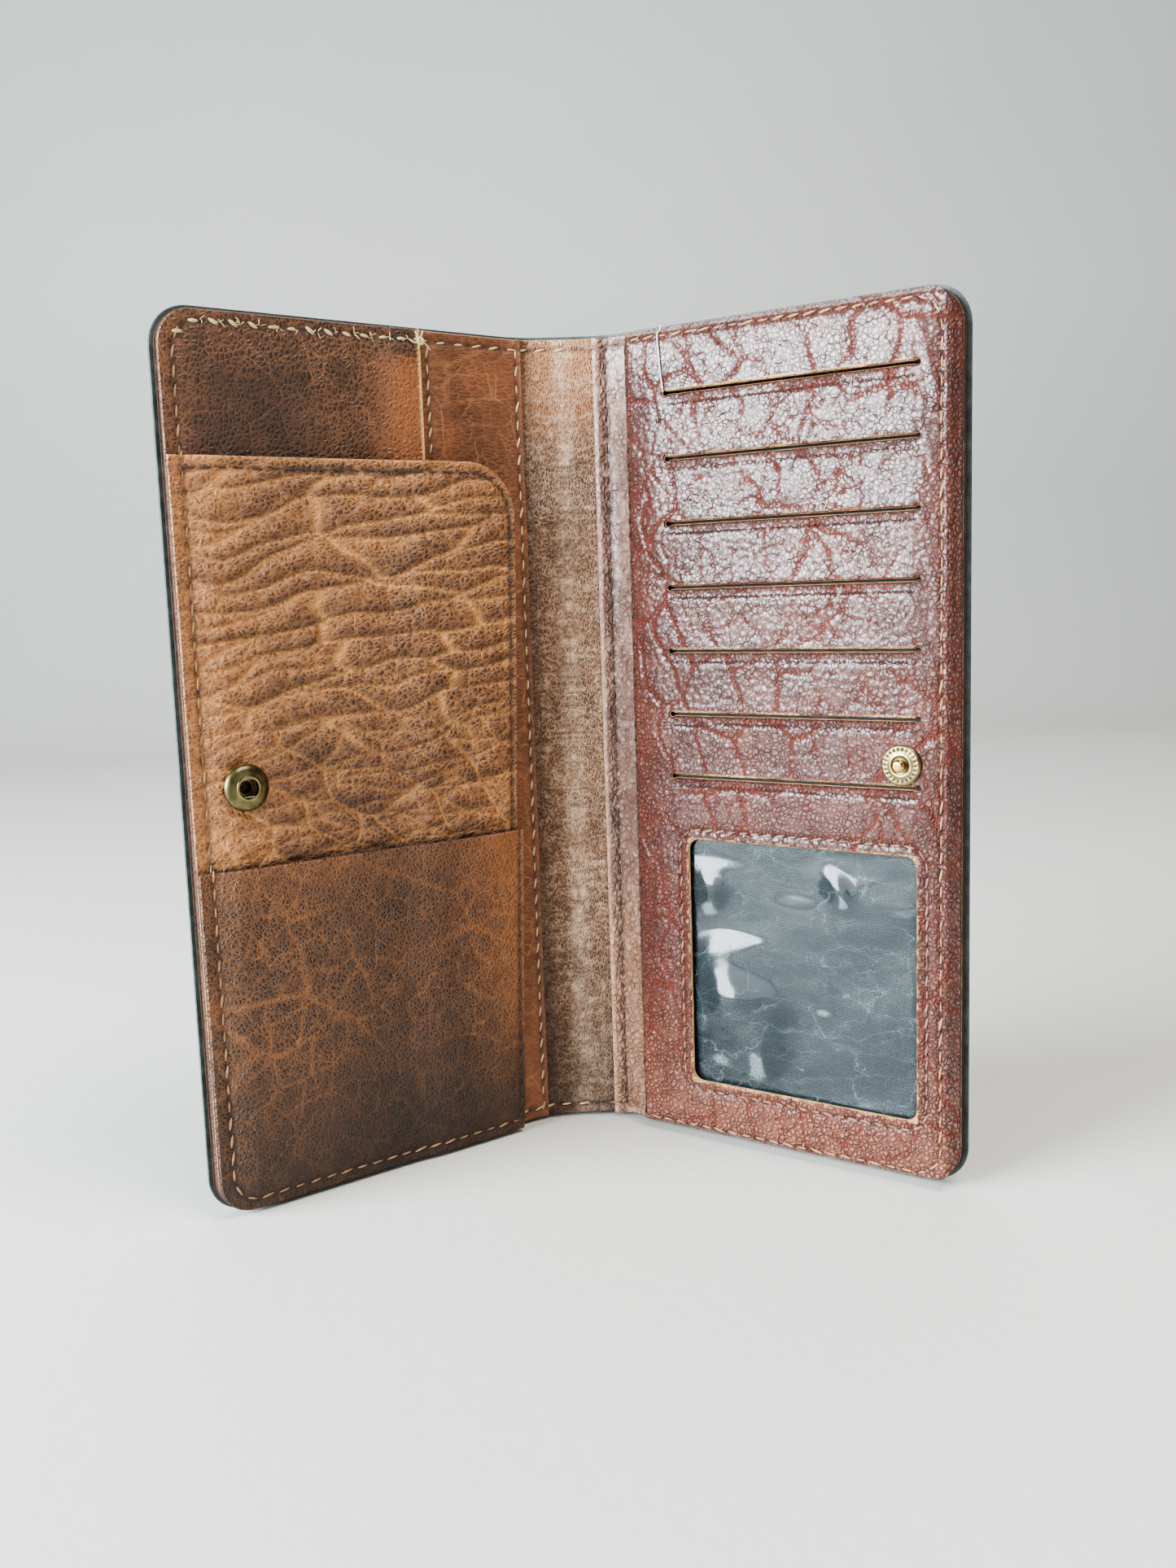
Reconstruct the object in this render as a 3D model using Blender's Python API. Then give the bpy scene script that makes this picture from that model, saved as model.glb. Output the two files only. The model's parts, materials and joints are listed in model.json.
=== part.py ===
"""Long bifold phone wallet of stitched leather, standing open on its lower edges.

The spine stands in the XZ plane and the two leaves fold forward, towards -Y.
Each leaf is built in its own flat frame: u runs from the fold line out to the free edge,
n from the inner face of the cover inwards, z up. Its empty sits on the fold line.
"""
import bmesh
import bpy
from math import asin, atan2, cos, pi, radians, sin, sqrt

# Overall sizes, in metres
HEIGHT = 0.190            # cover, top edge to lower edge
LEAF_WIDTH = 0.0887       # fold line to free edge, on the cover
SPINE_WIDTH = 0.020       # between the two fold lines
OPEN_ANGLE = radians(36)  # each leaf, forward of the flat position
CORNER_RADIUS = 0.0085    # free corners of the cover

# Leather and cloth thicknesses
COVER_LEATHER = 0.0012
LINING_LEATHER = 0.0005
SPINE_LEATHER = 0.0008
STRIP_LEATHER = 0.0006
SLIP_LEATHER = 0.0008
PANEL_LEATHER = 0.0009
POCKET_CLOTH = 0.00012
WINDOW_CLOTH = 0.0002
WINDOW_VINYL = 0.00025

# Clearances
GAP = 0.0003              # between pieces that touch or are glued
CLOTH_GAP = 0.00024       # between one card pocket and the next
FOLD_GAP = 0.0003         # cover edge to fold line
FOLD_MARGIN = 0.0018      # inner layers to fold line
EDGE_INSET = 0.0008       # inner layers inside the cover's edge
LEAF_EDGE = LEAF_WIDTH - EDGE_INSET                 # free edge of the inner layers
LEAF_FOOT = EDGE_INSET
LEAF_TOP = HEIGHT - EDGE_INSET
INNER_RADIUS = CORNER_RADIUS - EDGE_INSET

# Right leaf: slip pocket, card panel, window, seven card pockets
CARD_PANEL_EDGE = 0.0080      # folded edge of the card panel, from the fold line
WINDOW_FOOT = 0.0147
WINDOW_TOP = 0.0729
WINDOW_FOLD_MARGIN = 0.0161   # from the card panel's folded edge
WINDOW_EDGE_MARGIN = 0.0083   # from its free edge
WINDOW_RADIUS = 0.0025
WINDOW_OVERLAP = 0.0031       # clear vinyl behind the edge of the window
CARD_SLITS = 7
SLIT_FOLD_MARGIN = 0.0125
SLIT_EDGE_MARGIN = 0.0081
SLIT_TOP_MARGIN = 0.0150      # highest slit below the panel's top
SLIT_WINDOW_MARGIN = 0.0146   # lowest slit above the window
SLIT_WIDTH = 0.0008
SLIT_HOLE_RADIUS = 0.0007
POCKET_FOOT_MARGIN = 0.0087   # lowest card pocket above the panel's foot
POCKET_SIDE_MARGIN = 0.0005
RIM_FLAT = 0.0026             # stitched rim of the card panel
RIM_RUN = 0.0048              # length over which the card panel rises over its pockets
WINDOW_START = CARD_PANEL_EDGE + WINDOW_FOLD_MARGIN
WINDOW_END = LEAF_EDGE - WINDOW_EDGE_MARGIN
SLIT_START = CARD_PANEL_EDGE + SLIT_FOLD_MARGIN
SLIT_END = LEAF_EDGE - SLIT_EDGE_MARGIN
SLIT_TOP = LEAF_TOP - SLIT_TOP_MARGIN
SLIT_FOOT = WINDOW_TOP + SLIT_WINDOW_MARGIN
SLIT_PITCH = (SLIT_TOP - SLIT_FOOT) / (CARD_SLITS - 1)
CARD_POCKET_DEPTH = SLIT_FOOT - LEAF_FOOT - POCKET_FOOT_MARGIN

# Ring snap: socket on the left leaf, stud on the right leaf
SNAP_OUT = LEAF_EDGE - 0.0114       # centre, this far in from the free edge
SNAP_HEIGHT = SLIT_FOOT + 0.0049    # centre, this far above the lowest slit
SOCKET_RADIUS = 0.0050
SOCKET_HEIGHT = 0.0017
SOCKET_RIM = 0.0004                 # thickness at the outer edge
SOCKET_LIP = 0.0003
SOCKET_LIP_WIDTH = 0.0006
SOCKET_FLOOR = 0.0005
SOCKET_BORE = 0.0021
SPRING_GROOVE = 0.0030
SPRING_WIRE = 0.0002
SPRING_SPREAD = 0.00195             # each leg of the spring, from the centre
STUD_RADIUS = 0.0043
STUD_BASE = 0.0006
STUD_LENGTH = 0.0019                # post above its base
STUD_NECK_RADIUS = 0.00115
STUD_TIP_RADIUS = 0.0014
STUD_TIP_LENGTH = 0.0011
EYELET_RADIUS = 0.0034
EYELET_FLANGE = 0.0004
EYELET_BORE = 0.0014
BARREL_RADIUS = 0.0018              # eyelet's barrel, where it goes through the leather
ROUND_STEPS = 32

# Left leaf: cash pocket, facing strip, phone pocket, lower pocket
STRIP_WIDTH = 0.0315
CASH_EDGE = 0.0282            # raw edge of the cash panel, from the fold line
CASH_LEVEL_RUN = 0.010        # length over which the cash panel comes down off the strip
PHONE_POCKET_TOP = LEAF_TOP - 0.0289
PHONE_CORNER_RADIUS = 0.012
PHONE_GAPE = 0.0046           # how far the phone pocket stands open at its mouth
POCKET_SIDE_TOP = 0.0088      # fold-side edge of the pockets at the mouth, from the fold line
POCKET_SIDE_FOOT = 0.0112
POCKET_CROWN = 0.0010         # room behind the phone pocket for the snap's eyelet
CROWN_START = 0.002           # stitched rim of the phone pocket
CROWN_RUN = 0.007             # length over which it rises to its crown
LOWER_POCKET_TOP = SNAP_HEIGHT - 0.0171
LOWER_OVERLAP = 0.0010        # the lower pocket laps past the phone pocket's side

# Thread
THREAD_RADIUS = 0.00022
SEAM_INSET = 0.0026       # edge seam, from the edge of the cover
STRIP_SEAM = 0.0255       # seam along the facing strip, from the fold line
TOPSTITCH_MOUTH = 0.0024  # seam below the phone pocket's mouth
TOPSTITCH_SIDE = 0.0017
HEM_INSET = 0.0016
WINDOW_SEAM = 0.0022      # seam outside the window
THREAD_STEP = 0.006
THREAD_REACH = 0.0004     # leather this near to the thread lifts it

# Layers of each leaf, counted in n from the inner face of the cover
LINING_BASE = GAP
STRIP_BASE = LINING_BASE + LINING_LEATHER + GAP
CASH_BASE = STRIP_BASE                              # where it lies beside the strip
STRIP_STEP = STRIP_LEATHER + GAP                    # extra height where it lies on the strip
PHONE_BASE = CASH_BASE + PANEL_LEATHER + GAP
SLIP_BASE = STRIP_BASE
SLIP_TOP = SLIP_BASE + SLIP_LEATHER
POCKET_RISE = (POCKET_CLOTH + CLOTH_GAP) / SLIT_PITCH       # slope of each card pocket
POCKET_STACK = POCKET_CLOTH + POCKET_RISE * CARD_POCKET_DEPTH
CARD_RIM_BASE = SLIP_TOP + GAP
WINDOW_STACK = WINDOW_CLOTH + WINDOW_VINYL + 3 * GAP        # vinyl and its backing
CARD_BASE = CARD_RIM_BASE + POCKET_STACK + WINDOW_STACK


def clear_scene():
    for item in list(bpy.data.objects):
        bpy.data.objects.remove(item)


def make_material(name, colour, roughness, metallic=0.0):
    material = bpy.data.materials.new(name)
    material.use_nodes = True
    shader = material.node_tree.nodes["Principled BSDF"]
    shader.inputs["Base Color"].default_value = (*colour, 1.0)
    shader.inputs["Roughness"].default_value = roughness
    shader.inputs["Metallic"].default_value = metallic
    return material


def make_empty(name, location, parent=None, turn=0.0):
    empty = bpy.data.objects.new(name, None)
    empty.location = location
    empty.rotation_euler[2] = turn
    empty.parent = parent
    bpy.context.scene.collection.objects.link(empty)
    return empty


def add_object(name, data, parent, material, smooth=False):
    data.materials.append(material)
    obj = bpy.data.objects.new(name, data)
    obj.parent = parent
    bpy.context.scene.collection.objects.link(obj)
    if smooth:
        data.shade_smooth()
        data.set_sharp_from_angle(angle=radians(40))
    return obj


def smooth_step(value):
    t = min(max(value, 0.0), 1.0)
    return t * t * (3 - 2 * t)


# Outlines in a leaf's (u, z) plane

def arc(centre, radius, start, end, steps=6):
    """Points on a circle; the angles are in quarter turns."""
    angles = [(start + (end - start) * i / steps) * pi / 2 for i in range(steps + 1)]
    return [(centre[0] + radius * cos(a), centre[1] + radius * sin(a)) for a in angles]


def rounded_box(u0, u1, z0, z1, radius):
    return (arc((u0 + radius, z0 + radius), radius, 2, 3) + arc((u1 - radius, z0 + radius), radius, 3, 4)
            + arc((u1 - radius, z1 - radius), radius, 0, 1) + arc((u0 + radius, z1 - radius), radius, 1, 2))


def leaf_outline(start, edge, foot, top, radius):
    """A panel that is square at the fold and rounded at the free edge."""
    return ([(start, foot)] + arc((edge - radius, foot + radius), radius, 3, 4)
            + arc((edge - radius, top - radius), radius, 0, 1) + [(start, top)])


def slit_outline(z):
    """A straight cut with a punched hole at each end; the arcs stop where they meet the cut."""
    join = 2 / pi * asin(SLIT_WIDTH / 2 / SLIT_HOLE_RADIUS)
    return (arc((SLIT_START, z), SLIT_HOLE_RADIUS, join, 4 - join, 8)
            + arc((SLIT_END, z), SLIT_HOLE_RADIUS, join - 2, 2 - join, 8))


def pocket_side(z):
    """Fold-side edge of the phone pocket, which leans a little over its height."""
    return POCKET_SIDE_FOOT + (POCKET_SIDE_TOP - POCKET_SIDE_FOOT) * z / PHONE_POCKET_TOP


def slit_heights():
    return [SLIT_TOP - SLIT_PITCH * i for i in range(CARD_SLITS)]


# How far each layer stands in from the cover, at (u, z)

def strip_step(u):
    return STRIP_STEP * (1 - smooth_step((u - STRIP_WIDTH - GAP) / CASH_LEVEL_RUN))


def cash_level(u, z):
    return CASH_BASE + strip_step(u)


def phone_level(u, z):
    crown = POCKET_CROWN * smooth_step((LEAF_EDGE - u - CROWN_START) / CROWN_RUN)
    crown *= smooth_step((z - CROWN_START) / CROWN_RUN)
    gape = PHONE_GAPE * smooth_step((LEAF_EDGE - u) / LEAF_EDGE) * smooth_step(z / PHONE_POCKET_TOP)
    return PHONE_BASE + strip_step(u) + crown + gape


def lower_level(u, z):
    return phone_level(u, z) + PANEL_LEATHER + GAP


def card_level(u, z):
    inside = min(u - CARD_PANEL_EDGE, LEAF_EDGE - u, z - LEAF_FOOT, LEAF_TOP - z)
    return CARD_RIM_BASE + (CARD_BASE - CARD_RIM_BASE) * smooth_step((inside - RIM_FLAT) / RIM_RUN)


def pane_level(u, z):
    return card_level(u, z) - GAP - WINDOW_VINYL


def backing_level(u, z):
    return pane_level(u, z) - GAP - WINDOW_CLOTH


def left_face(u, z):
    """Innermost leather surface of the left leaf."""
    if z <= LOWER_POCKET_TOP and u >= pocket_side(z) - LOWER_OVERLAP:
        return lower_level(u, z) + PANEL_LEATHER
    if z <= PHONE_POCKET_TOP and u >= pocket_side(z):
        return phone_level(u, z) + PANEL_LEATHER
    if u >= CASH_EDGE:
        return cash_level(u, z) + PANEL_LEATHER
    return STRIP_BASE + STRIP_LEATHER


def right_face(u, z):
    """Innermost leather surface of the right leaf."""
    if u >= CARD_PANEL_EDGE:
        return card_level(u, z) + PANEL_LEATHER
    return SLIP_TOP


# Solids

def prism(outline, depth, base=0.0):
    """A flat slab: the outline in (u, z), from n = base to base + depth."""
    bm = bmesh.new()
    ring = [bm.verts.new((u, -base, z)) for u, z in outline]
    face = bm.faces.new(ring)
    grown = bmesh.ops.extrude_face_region(bm, geom=[face])
    lifted = [item for item in grown["geom"] if isinstance(item, bmesh.types.BMVert)]
    bmesh.ops.translate(bm, vec=(0, -depth, 0), verts=lifted)
    bmesh.ops.recalc_face_normals(bm, faces=bm.faces)
    return bm


def to_mesh(bm, name):
    mesh = bpy.data.meshes.new(name)
    bm.to_mesh(mesh)
    bm.free()
    return mesh


def cut_mesh(mesh, outlines, depth):
    """The mesh with each outline cut right through it."""
    body = bpy.data.objects.new("blank", mesh)
    bpy.context.scene.collection.objects.link(body)
    cutters = []
    for outline in outlines:
        cutter = bpy.data.objects.new("cutter", to_mesh(prism(outline, depth * 3, -depth), "cutter"))
        cutter.hide_render = True
        cutter.display_type = "WIRE"
        bpy.context.scene.collection.objects.link(cutter)
        boolean = body.modifiers.new("cut", "BOOLEAN")
        boolean.object = cutter
        cutters.append(cutter)
    evaluated = body.evaluated_get(bpy.context.evaluated_depsgraph_get())
    result = bpy.data.meshes.new_from_object(evaluated)
    for item in cutters + [body]:
        bpy.data.objects.remove(item)
    return result


def sheet(name, leaf, material, outline, thickness, level, cuts=(), u_lines=(), z_lines=()):
    """A piece of leather or cloth, divided at the given lines so that it can follow its level."""
    mesh = to_mesh(prism(outline, thickness), name)
    if cuts:
        mesh = cut_mesh(mesh, cuts, thickness)
    bm = bmesh.new()
    bm.from_mesh(mesh)
    for axis, lines in (((1, 0, 0), u_lines), ((0, 0, 1), z_lines)):
        for line in lines:
            everything = bm.verts[:] + bm.edges[:] + bm.faces[:]
            point = [line * part for part in axis]
            bmesh.ops.bisect_plane(bm, geom=everything, dist=1e-6, plane_co=point, plane_no=axis)
    bmesh.ops.remove_doubles(bm, verts=bm.verts, dist=1e-5)
    bmesh.ops.dissolve_degenerate(bm, edges=bm.edges, dist=1e-6)
    bmesh.ops.triangulate(bm, faces=bm.faces)
    for vert in bm.verts:
        u, n, z = vert.co.x, -vert.co.y, vert.co.z
        vert.co = (leaf["side"] * u, -(level(u, z) + n), z)
    if leaf["side"] < 0:
        bmesh.ops.reverse_faces(bm, faces=bm.faces)
    mesh.clear_geometry()
    bm.to_mesh(mesh)
    bm.free()
    return add_object(name, mesh, leaf["axis"], material)


def flat(height):
    return lambda u, z: height


def turned(name, leaf, material, profile, base):
    """A round piece of the snap; the profile is (radius, n) above the base, seen as a closed loop."""
    bm = bmesh.new()
    centre_u = leaf["side"] * SNAP_OUT
    verts = [bm.verts.new((centre_u + radius, -(base + n), SNAP_HEIGHT)) for radius, n in profile]
    edges = [bm.edges.new((verts[i], verts[(i + 1) % len(verts)])) for i in range(len(verts))]
    on_axis = profile[0][0] == 0 and profile[-1][0] == 0
    if on_axis:
        bm.edges.remove(edges.pop())
    bmesh.ops.spin(bm, geom=verts + edges, cent=(centre_u, 0, SNAP_HEIGHT), axis=(0, 1, 0),
                   angle=2 * pi, steps=ROUND_STEPS, use_merge=True)
    bmesh.ops.remove_doubles(bm, verts=bm.verts, dist=1e-6)
    bmesh.ops.recalc_face_normals(bm, faces=bm.faces)
    return add_object(name, to_mesh(bm, name), leaf["axis"], material, smooth=True)


def tube(name, leaf, material, points, radius, closed=False):
    """A round wire or thread through (u, n, z) points."""
    curve = bpy.data.curves.new(name, "CURVE")
    curve.dimensions = "3D"
    curve.bevel_depth = radius
    curve.bevel_resolution = 1
    curve.use_fill_caps = True
    spline = curve.splines.new("POLY")
    spline.points.add(len(points) - 1)
    for point, (u, n, z) in zip(spline.points, points):
        point.co = (leaf["side"] * u, -n, z, 1)
    spline.use_cyclic_u = closed
    return add_object(name, curve, leaf["axis"], material)


def along(path, closed=False):
    """The path with points added so that none are further apart than the thread step."""
    ends = path[1:] + path[:1] if closed else path[1:]
    result = []
    for (u0, z0), (u1, z1) in zip(path, ends):
        count = max(1, round(sqrt((u1 - u0) ** 2 + (z1 - z0) ** 2) / THREAD_STEP))
        result += [(u0 + (u1 - u0) * i / count, z0 + (z1 - z0) * i / count) for i in range(count)]
    return result if closed else result + [path[-1]]


def thread(name, leaf, material, path, face, closed=False):
    """A seam laid on the leather, lifted over every step that it crosses."""
    route = along(path, closed)
    last = len(route) - 1
    points = []
    for i, (u, z) in enumerate(route):
        before = route[i - 1] if closed or i > 0 else route[i]
        after = route[(i + 1) % len(route)] if closed or i < last else route[i]
        levels = []
        for end in (before, after):
            for k in range(9):
                near_u, near_z = u + (end[0] - u) * k / 8, z + (end[1] - z) * k / 8
                levels += [face(near_u + du, near_z + dz) for du in (-THREAD_REACH, 0, THREAD_REACH)
                           for dz in (-THREAD_REACH, 0, THREAD_REACH)]
        points.append((u, max(levels) + GAP + THREAD_RADIUS, z))
    return tube(name, leaf, material, points, THREAD_RADIUS, closed)


def seat_of(face, radius):
    """Level of the highest leather under a round piece of the snap."""
    return max(face(u, z) for u, z in arc((SNAP_OUT, SNAP_HEIGHT), radius, 0, 4, ROUND_STEPS))


def back_of(level, radius):
    """Level of the leather's back, where a round flange behind it touches first."""
    return min(level(u, z) for u, z in arc((SNAP_OUT, SNAP_HEIGHT), radius, 0, 4, ROUND_STEPS))


# Sub-parts

def build_cover(spine, leaves, material):
    for leaf in leaves:
        outline = leaf_outline(FOLD_GAP, LEAF_WIDTH, 0, HEIGHT, CORNER_RADIUS)
        sheet("cover_" + leaf["name"], leaf, material, outline, COVER_LEATHER, flat(-COVER_LEATHER))
    half = SPINE_WIDTH / 2 - FOLD_GAP
    outline = [(-half, 0), (half, 0), (half, HEIGHT), (-half, HEIGHT)]
    sheet("cover_spine", spine, material, outline, COVER_LEATHER, flat(-COVER_LEATHER))


def build_spine(spine, leather, cotton):
    half = SPINE_WIDTH / 2 - FOLD_GAP * 2
    outline = [(-half, LEAF_FOOT), (half, LEAF_FOOT), (half, LEAF_TOP), (-half, LEAF_TOP)]
    sheet("spine_lining", spine, leather, outline, SPINE_LEATHER, flat(LINING_BASE))
    face = flat(LINING_BASE + SPINE_LEATHER)
    reach = half - HEM_INSET
    for name, z in (("spine_thread_top", HEIGHT - SEAM_INSET), ("spine_thread_foot", SEAM_INSET)):
        thread(name, spine, cotton, [(-reach, z), (reach, z)], face)


def build_left_panels(leaf, colours):
    lining = leaf_outline(FOLD_MARGIN, LEAF_EDGE, LEAF_FOOT, LEAF_TOP, INNER_RADIUS)
    sheet("lining_left", leaf, colours["lining"], lining, LINING_LEATHER, flat(LINING_BASE))
    strip = [(FOLD_MARGIN, LEAF_FOOT), (STRIP_WIDTH, LEAF_FOOT), (STRIP_WIDTH, LEAF_TOP),
             (FOLD_MARGIN, LEAF_TOP)]
    sheet("facing_strip", leaf, colours["strip"], strip, STRIP_LEATHER, flat(STRIP_BASE))
    cash = leaf_outline(CASH_EDGE, LEAF_EDGE, LEAF_FOOT, LEAF_TOP, INNER_RADIUS)
    steps = [STRIP_WIDTH + GAP + CASH_LEVEL_RUN * i / 4 for i in range(5)]
    sheet("cash_pocket_panel", leaf, colours["cash"], cash, PANEL_LEATHER, cash_level, u_lines=steps)


def pocket_lines(top):
    """Where a pocket panel bends: over the strip, up its crown and along its gape."""
    u_lines = [STRIP_WIDTH + GAP + CASH_LEVEL_RUN * i / 4 for i in range(5)]
    u_lines += [LEAF_EDGE - CROWN_START - CROWN_RUN * i / 4 for i in range(5)]
    u_lines += [LEAF_EDGE * i / 13 for i in (2, 3, 4, 8, 9, 10, 11)]
    z_lines = [CROWN_START + CROWN_RUN * i / 4 for i in range(5)]
    z_lines += [top * i / 8 for i in range(2, 8)]
    return {"u_lines": u_lines, "z_lines": z_lines}


def snap_hole():
    radius = BARREL_RADIUS + GAP
    return [arc((SNAP_OUT, SNAP_HEIGHT), radius, 0, 4, 16)[:-1]]


def build_left_pockets(leaf, colours):
    foot_side = POCKET_SIDE_FOOT
    corner_side = pocket_side(PHONE_POCKET_TOP - PHONE_CORNER_RADIUS)
    corner = (corner_side + PHONE_CORNER_RADIUS, PHONE_POCKET_TOP - PHONE_CORNER_RADIUS)
    outline = ([(foot_side, LEAF_FOOT)]
               + arc((LEAF_EDGE - INNER_RADIUS, LEAF_FOOT + INNER_RADIUS), INNER_RADIUS, 3, 4)
               + [(LEAF_EDGE, PHONE_POCKET_TOP)] + arc(corner, PHONE_CORNER_RADIUS, 1, 2))
    sheet("phone_pocket_panel", leaf, colours["phone"], outline, PANEL_LEATHER, phone_level,
          cuts=snap_hole(), **pocket_lines(PHONE_POCKET_TOP))
    side_top = pocket_side(LOWER_POCKET_TOP) - LOWER_OVERLAP
    outline = ([(foot_side - LOWER_OVERLAP, LEAF_FOOT)]
               + arc((LEAF_EDGE - INNER_RADIUS, LEAF_FOOT + INNER_RADIUS), INNER_RADIUS, 3, 4)
               + [(LEAF_EDGE, LOWER_POCKET_TOP), (side_top, LOWER_POCKET_TOP)])
    sheet("lower_pocket_panel", leaf, colours["lower"], outline, PANEL_LEATHER, lower_level,
          **pocket_lines(LOWER_POCKET_TOP))


def build_left_seams(leaf, cotton):
    edge = LEAF_WIDTH - SEAM_INSET
    radius = CORNER_RADIUS - SEAM_INSET
    start = FOLD_MARGIN + HEM_INSET
    path = ([(start, SEAM_INSET)] + arc((edge - radius, SEAM_INSET + radius), radius, 3, 4)
            + arc((edge - radius, HEIGHT - SEAM_INSET - radius), radius, 0, 1)
            + [(start, HEIGHT - SEAM_INSET)])
    thread("edge_thread_left", leaf, cotton, path, left_face)
    inner_foot = SEAM_INSET + HEM_INSET
    inner_top = HEIGHT - SEAM_INSET - HEM_INSET
    strip_face = flat(STRIP_BASE + STRIP_LEATHER)
    thread("fold_thread_left", leaf, cotton, [(start, inner_foot), (start, inner_top)], strip_face)
    thread("strip_thread", leaf, cotton, [(STRIP_SEAM, inner_foot), (STRIP_SEAM, inner_top)], strip_face)
    side_top = PHONE_POCKET_TOP - PHONE_CORNER_RADIUS
    radius = PHONE_CORNER_RADIUS - TOPSTITCH_MOUTH
    corner = (pocket_side(side_top) + TOPSTITCH_SIDE + radius, side_top)
    foot = LOWER_POCKET_TOP + HEM_INSET * 2
    path = ([(edge - HEM_INSET, PHONE_POCKET_TOP - TOPSTITCH_MOUTH)] + arc(corner, radius, 1, 2)
            + [(pocket_side(foot) + TOPSTITCH_SIDE, foot)])
    thread("phone_pocket_thread", leaf, cotton, path, left_face)
    path = [(pocket_side(z) - LOWER_OVERLAP + TOPSTITCH_SIDE, z)
            for z in (LOWER_POCKET_TOP - HEM_INSET, inner_foot)]
    thread("lower_pocket_thread", leaf, cotton, path, left_face)


def build_right_panels(leaf, colours):
    lining = leaf_outline(FOLD_MARGIN, LEAF_EDGE, LEAF_FOOT, LEAF_TOP, INNER_RADIUS)
    sheet("lining_right", leaf, colours["lining"], lining, LINING_LEATHER, flat(LINING_BASE))
    sheet("slip_pocket_panel", leaf, colours["card"], lining, SLIP_LEATHER, flat(SLIP_BASE))
    window = rounded_box(WINDOW_START, WINDOW_END, WINDOW_FOOT, WINDOW_TOP, WINDOW_RADIUS)
    cuts = [slit_outline(z) for z in slit_heights()] + [window] + snap_hole()
    rise = [RIM_FLAT + RIM_RUN * i / 4 for i in range(5)]
    u_lines = [CARD_PANEL_EDGE + run for run in rise] + [LEAF_EDGE - run for run in rise]
    z_lines = [LEAF_FOOT + run for run in rise] + [LEAF_TOP - run for run in rise]
    outline = leaf_outline(CARD_PANEL_EDGE, LEAF_EDGE, LEAF_FOOT, LEAF_TOP, INNER_RADIUS)
    sheet("card_panel", leaf, colours["card"], outline, PANEL_LEATHER, card_level, cuts=cuts,
          u_lines=u_lines, z_lines=z_lines)
    box = (WINDOW_START - WINDOW_OVERLAP, WINDOW_END + WINDOW_OVERLAP,
           WINDOW_FOOT - WINDOW_OVERLAP, WINDOW_TOP + WINDOW_OVERLAP)
    outline = [(box[0], box[2]), (box[1], box[2]), (box[1], box[3]), (box[0], box[3])]
    edge_lines = [LEAF_EDGE - run for run in rise if LEAF_EDGE - run < box[1]]
    sheet("window_pane", leaf, colours["vinyl"], outline, WINDOW_VINYL, pane_level, u_lines=edge_lines)
    sheet("window_lining", leaf, colours["nylon"], outline, WINDOW_CLOTH, backing_level,
          u_lines=edge_lines)


def build_card_pockets(leaf, nylon):
    """Each pocket hangs from its own slit and slopes back, so that the next one lies over it."""
    start = SLIT_START - POCKET_SIDE_MARGIN
    end = SLIT_END + POCKET_SIDE_MARGIN
    for index, top in enumerate(slit_heights()):
        foot = top - CARD_POCKET_DEPTH
        outline = [(start, foot), (end, foot), (end, top), (start, top)]
        sheet("card_pocket_%d" % (index + 1), leaf, nylon, outline, POCKET_CLOTH,
              lambda u, z, foot=foot: SLIP_TOP + GAP + POCKET_RISE * (z - foot))


def build_right_seams(leaf, cotton):
    edge = LEAF_WIDTH - SEAM_INSET
    radius = CORNER_RADIUS - SEAM_INSET
    start = FOLD_MARGIN + HEM_INSET
    path = ([(start, SEAM_INSET)] + arc((edge - radius, SEAM_INSET + radius), radius, 3, 4)
            + arc((edge - radius, HEIGHT - SEAM_INSET - radius), radius, 0, 1)
            + [(start, HEIGHT - SEAM_INSET)])
    thread("edge_thread_right", leaf, cotton, path, right_face)
    foot = SEAM_INSET + HEM_INSET
    top = HEIGHT - SEAM_INSET - HEM_INSET
    thread("slip_pocket_thread", leaf, cotton, [(start, foot), (start, top)], right_face)
    hem = CARD_PANEL_EDGE + HEM_INSET
    thread("card_panel_thread", leaf, cotton, [(hem, foot), (hem, top)], right_face)
    path = rounded_box(WINDOW_START - WINDOW_SEAM, WINDOW_END + WINDOW_SEAM,
                       WINDOW_FOOT - WINDOW_SEAM, WINDOW_TOP + WINDOW_SEAM,
                       WINDOW_RADIUS + WINDOW_SEAM)
    thread("window_thread", leaf, cotton, path, right_face, closed=True)


def build_socket(leaf, brass, steel):
    base = seat_of(left_face, SOCKET_RADIUS) + GAP
    lip = SOCKET_HEIGHT - SOCKET_LIP
    shoulder = (SOCKET_RIM + lip) / 2
    profile = [(SOCKET_BORE, 0), (SOCKET_BORE, SOCKET_FLOOR), (SPRING_GROOVE, SOCKET_FLOOR),
               (SPRING_GROOVE, lip), (SOCKET_BORE, lip), (SOCKET_BORE, SOCKET_HEIGHT),
               (SOCKET_BORE + SOCKET_LIP_WIDTH, SOCKET_HEIGHT), (SOCKET_RADIUS * 0.72, lip),
               (SOCKET_RADIUS * 0.9, shoulder), (SOCKET_RADIUS, SOCKET_RIM), (SOCKET_RADIUS, 0)]
    turned("snap_socket", leaf, brass, profile, base)
    build_spring(leaf, steel, base + (SOCKET_FLOOR + lip) / 2)
    build_eyelet("socket_eyelet", leaf, brass, back_of(phone_level, EYELET_RADIUS), base)


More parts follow.
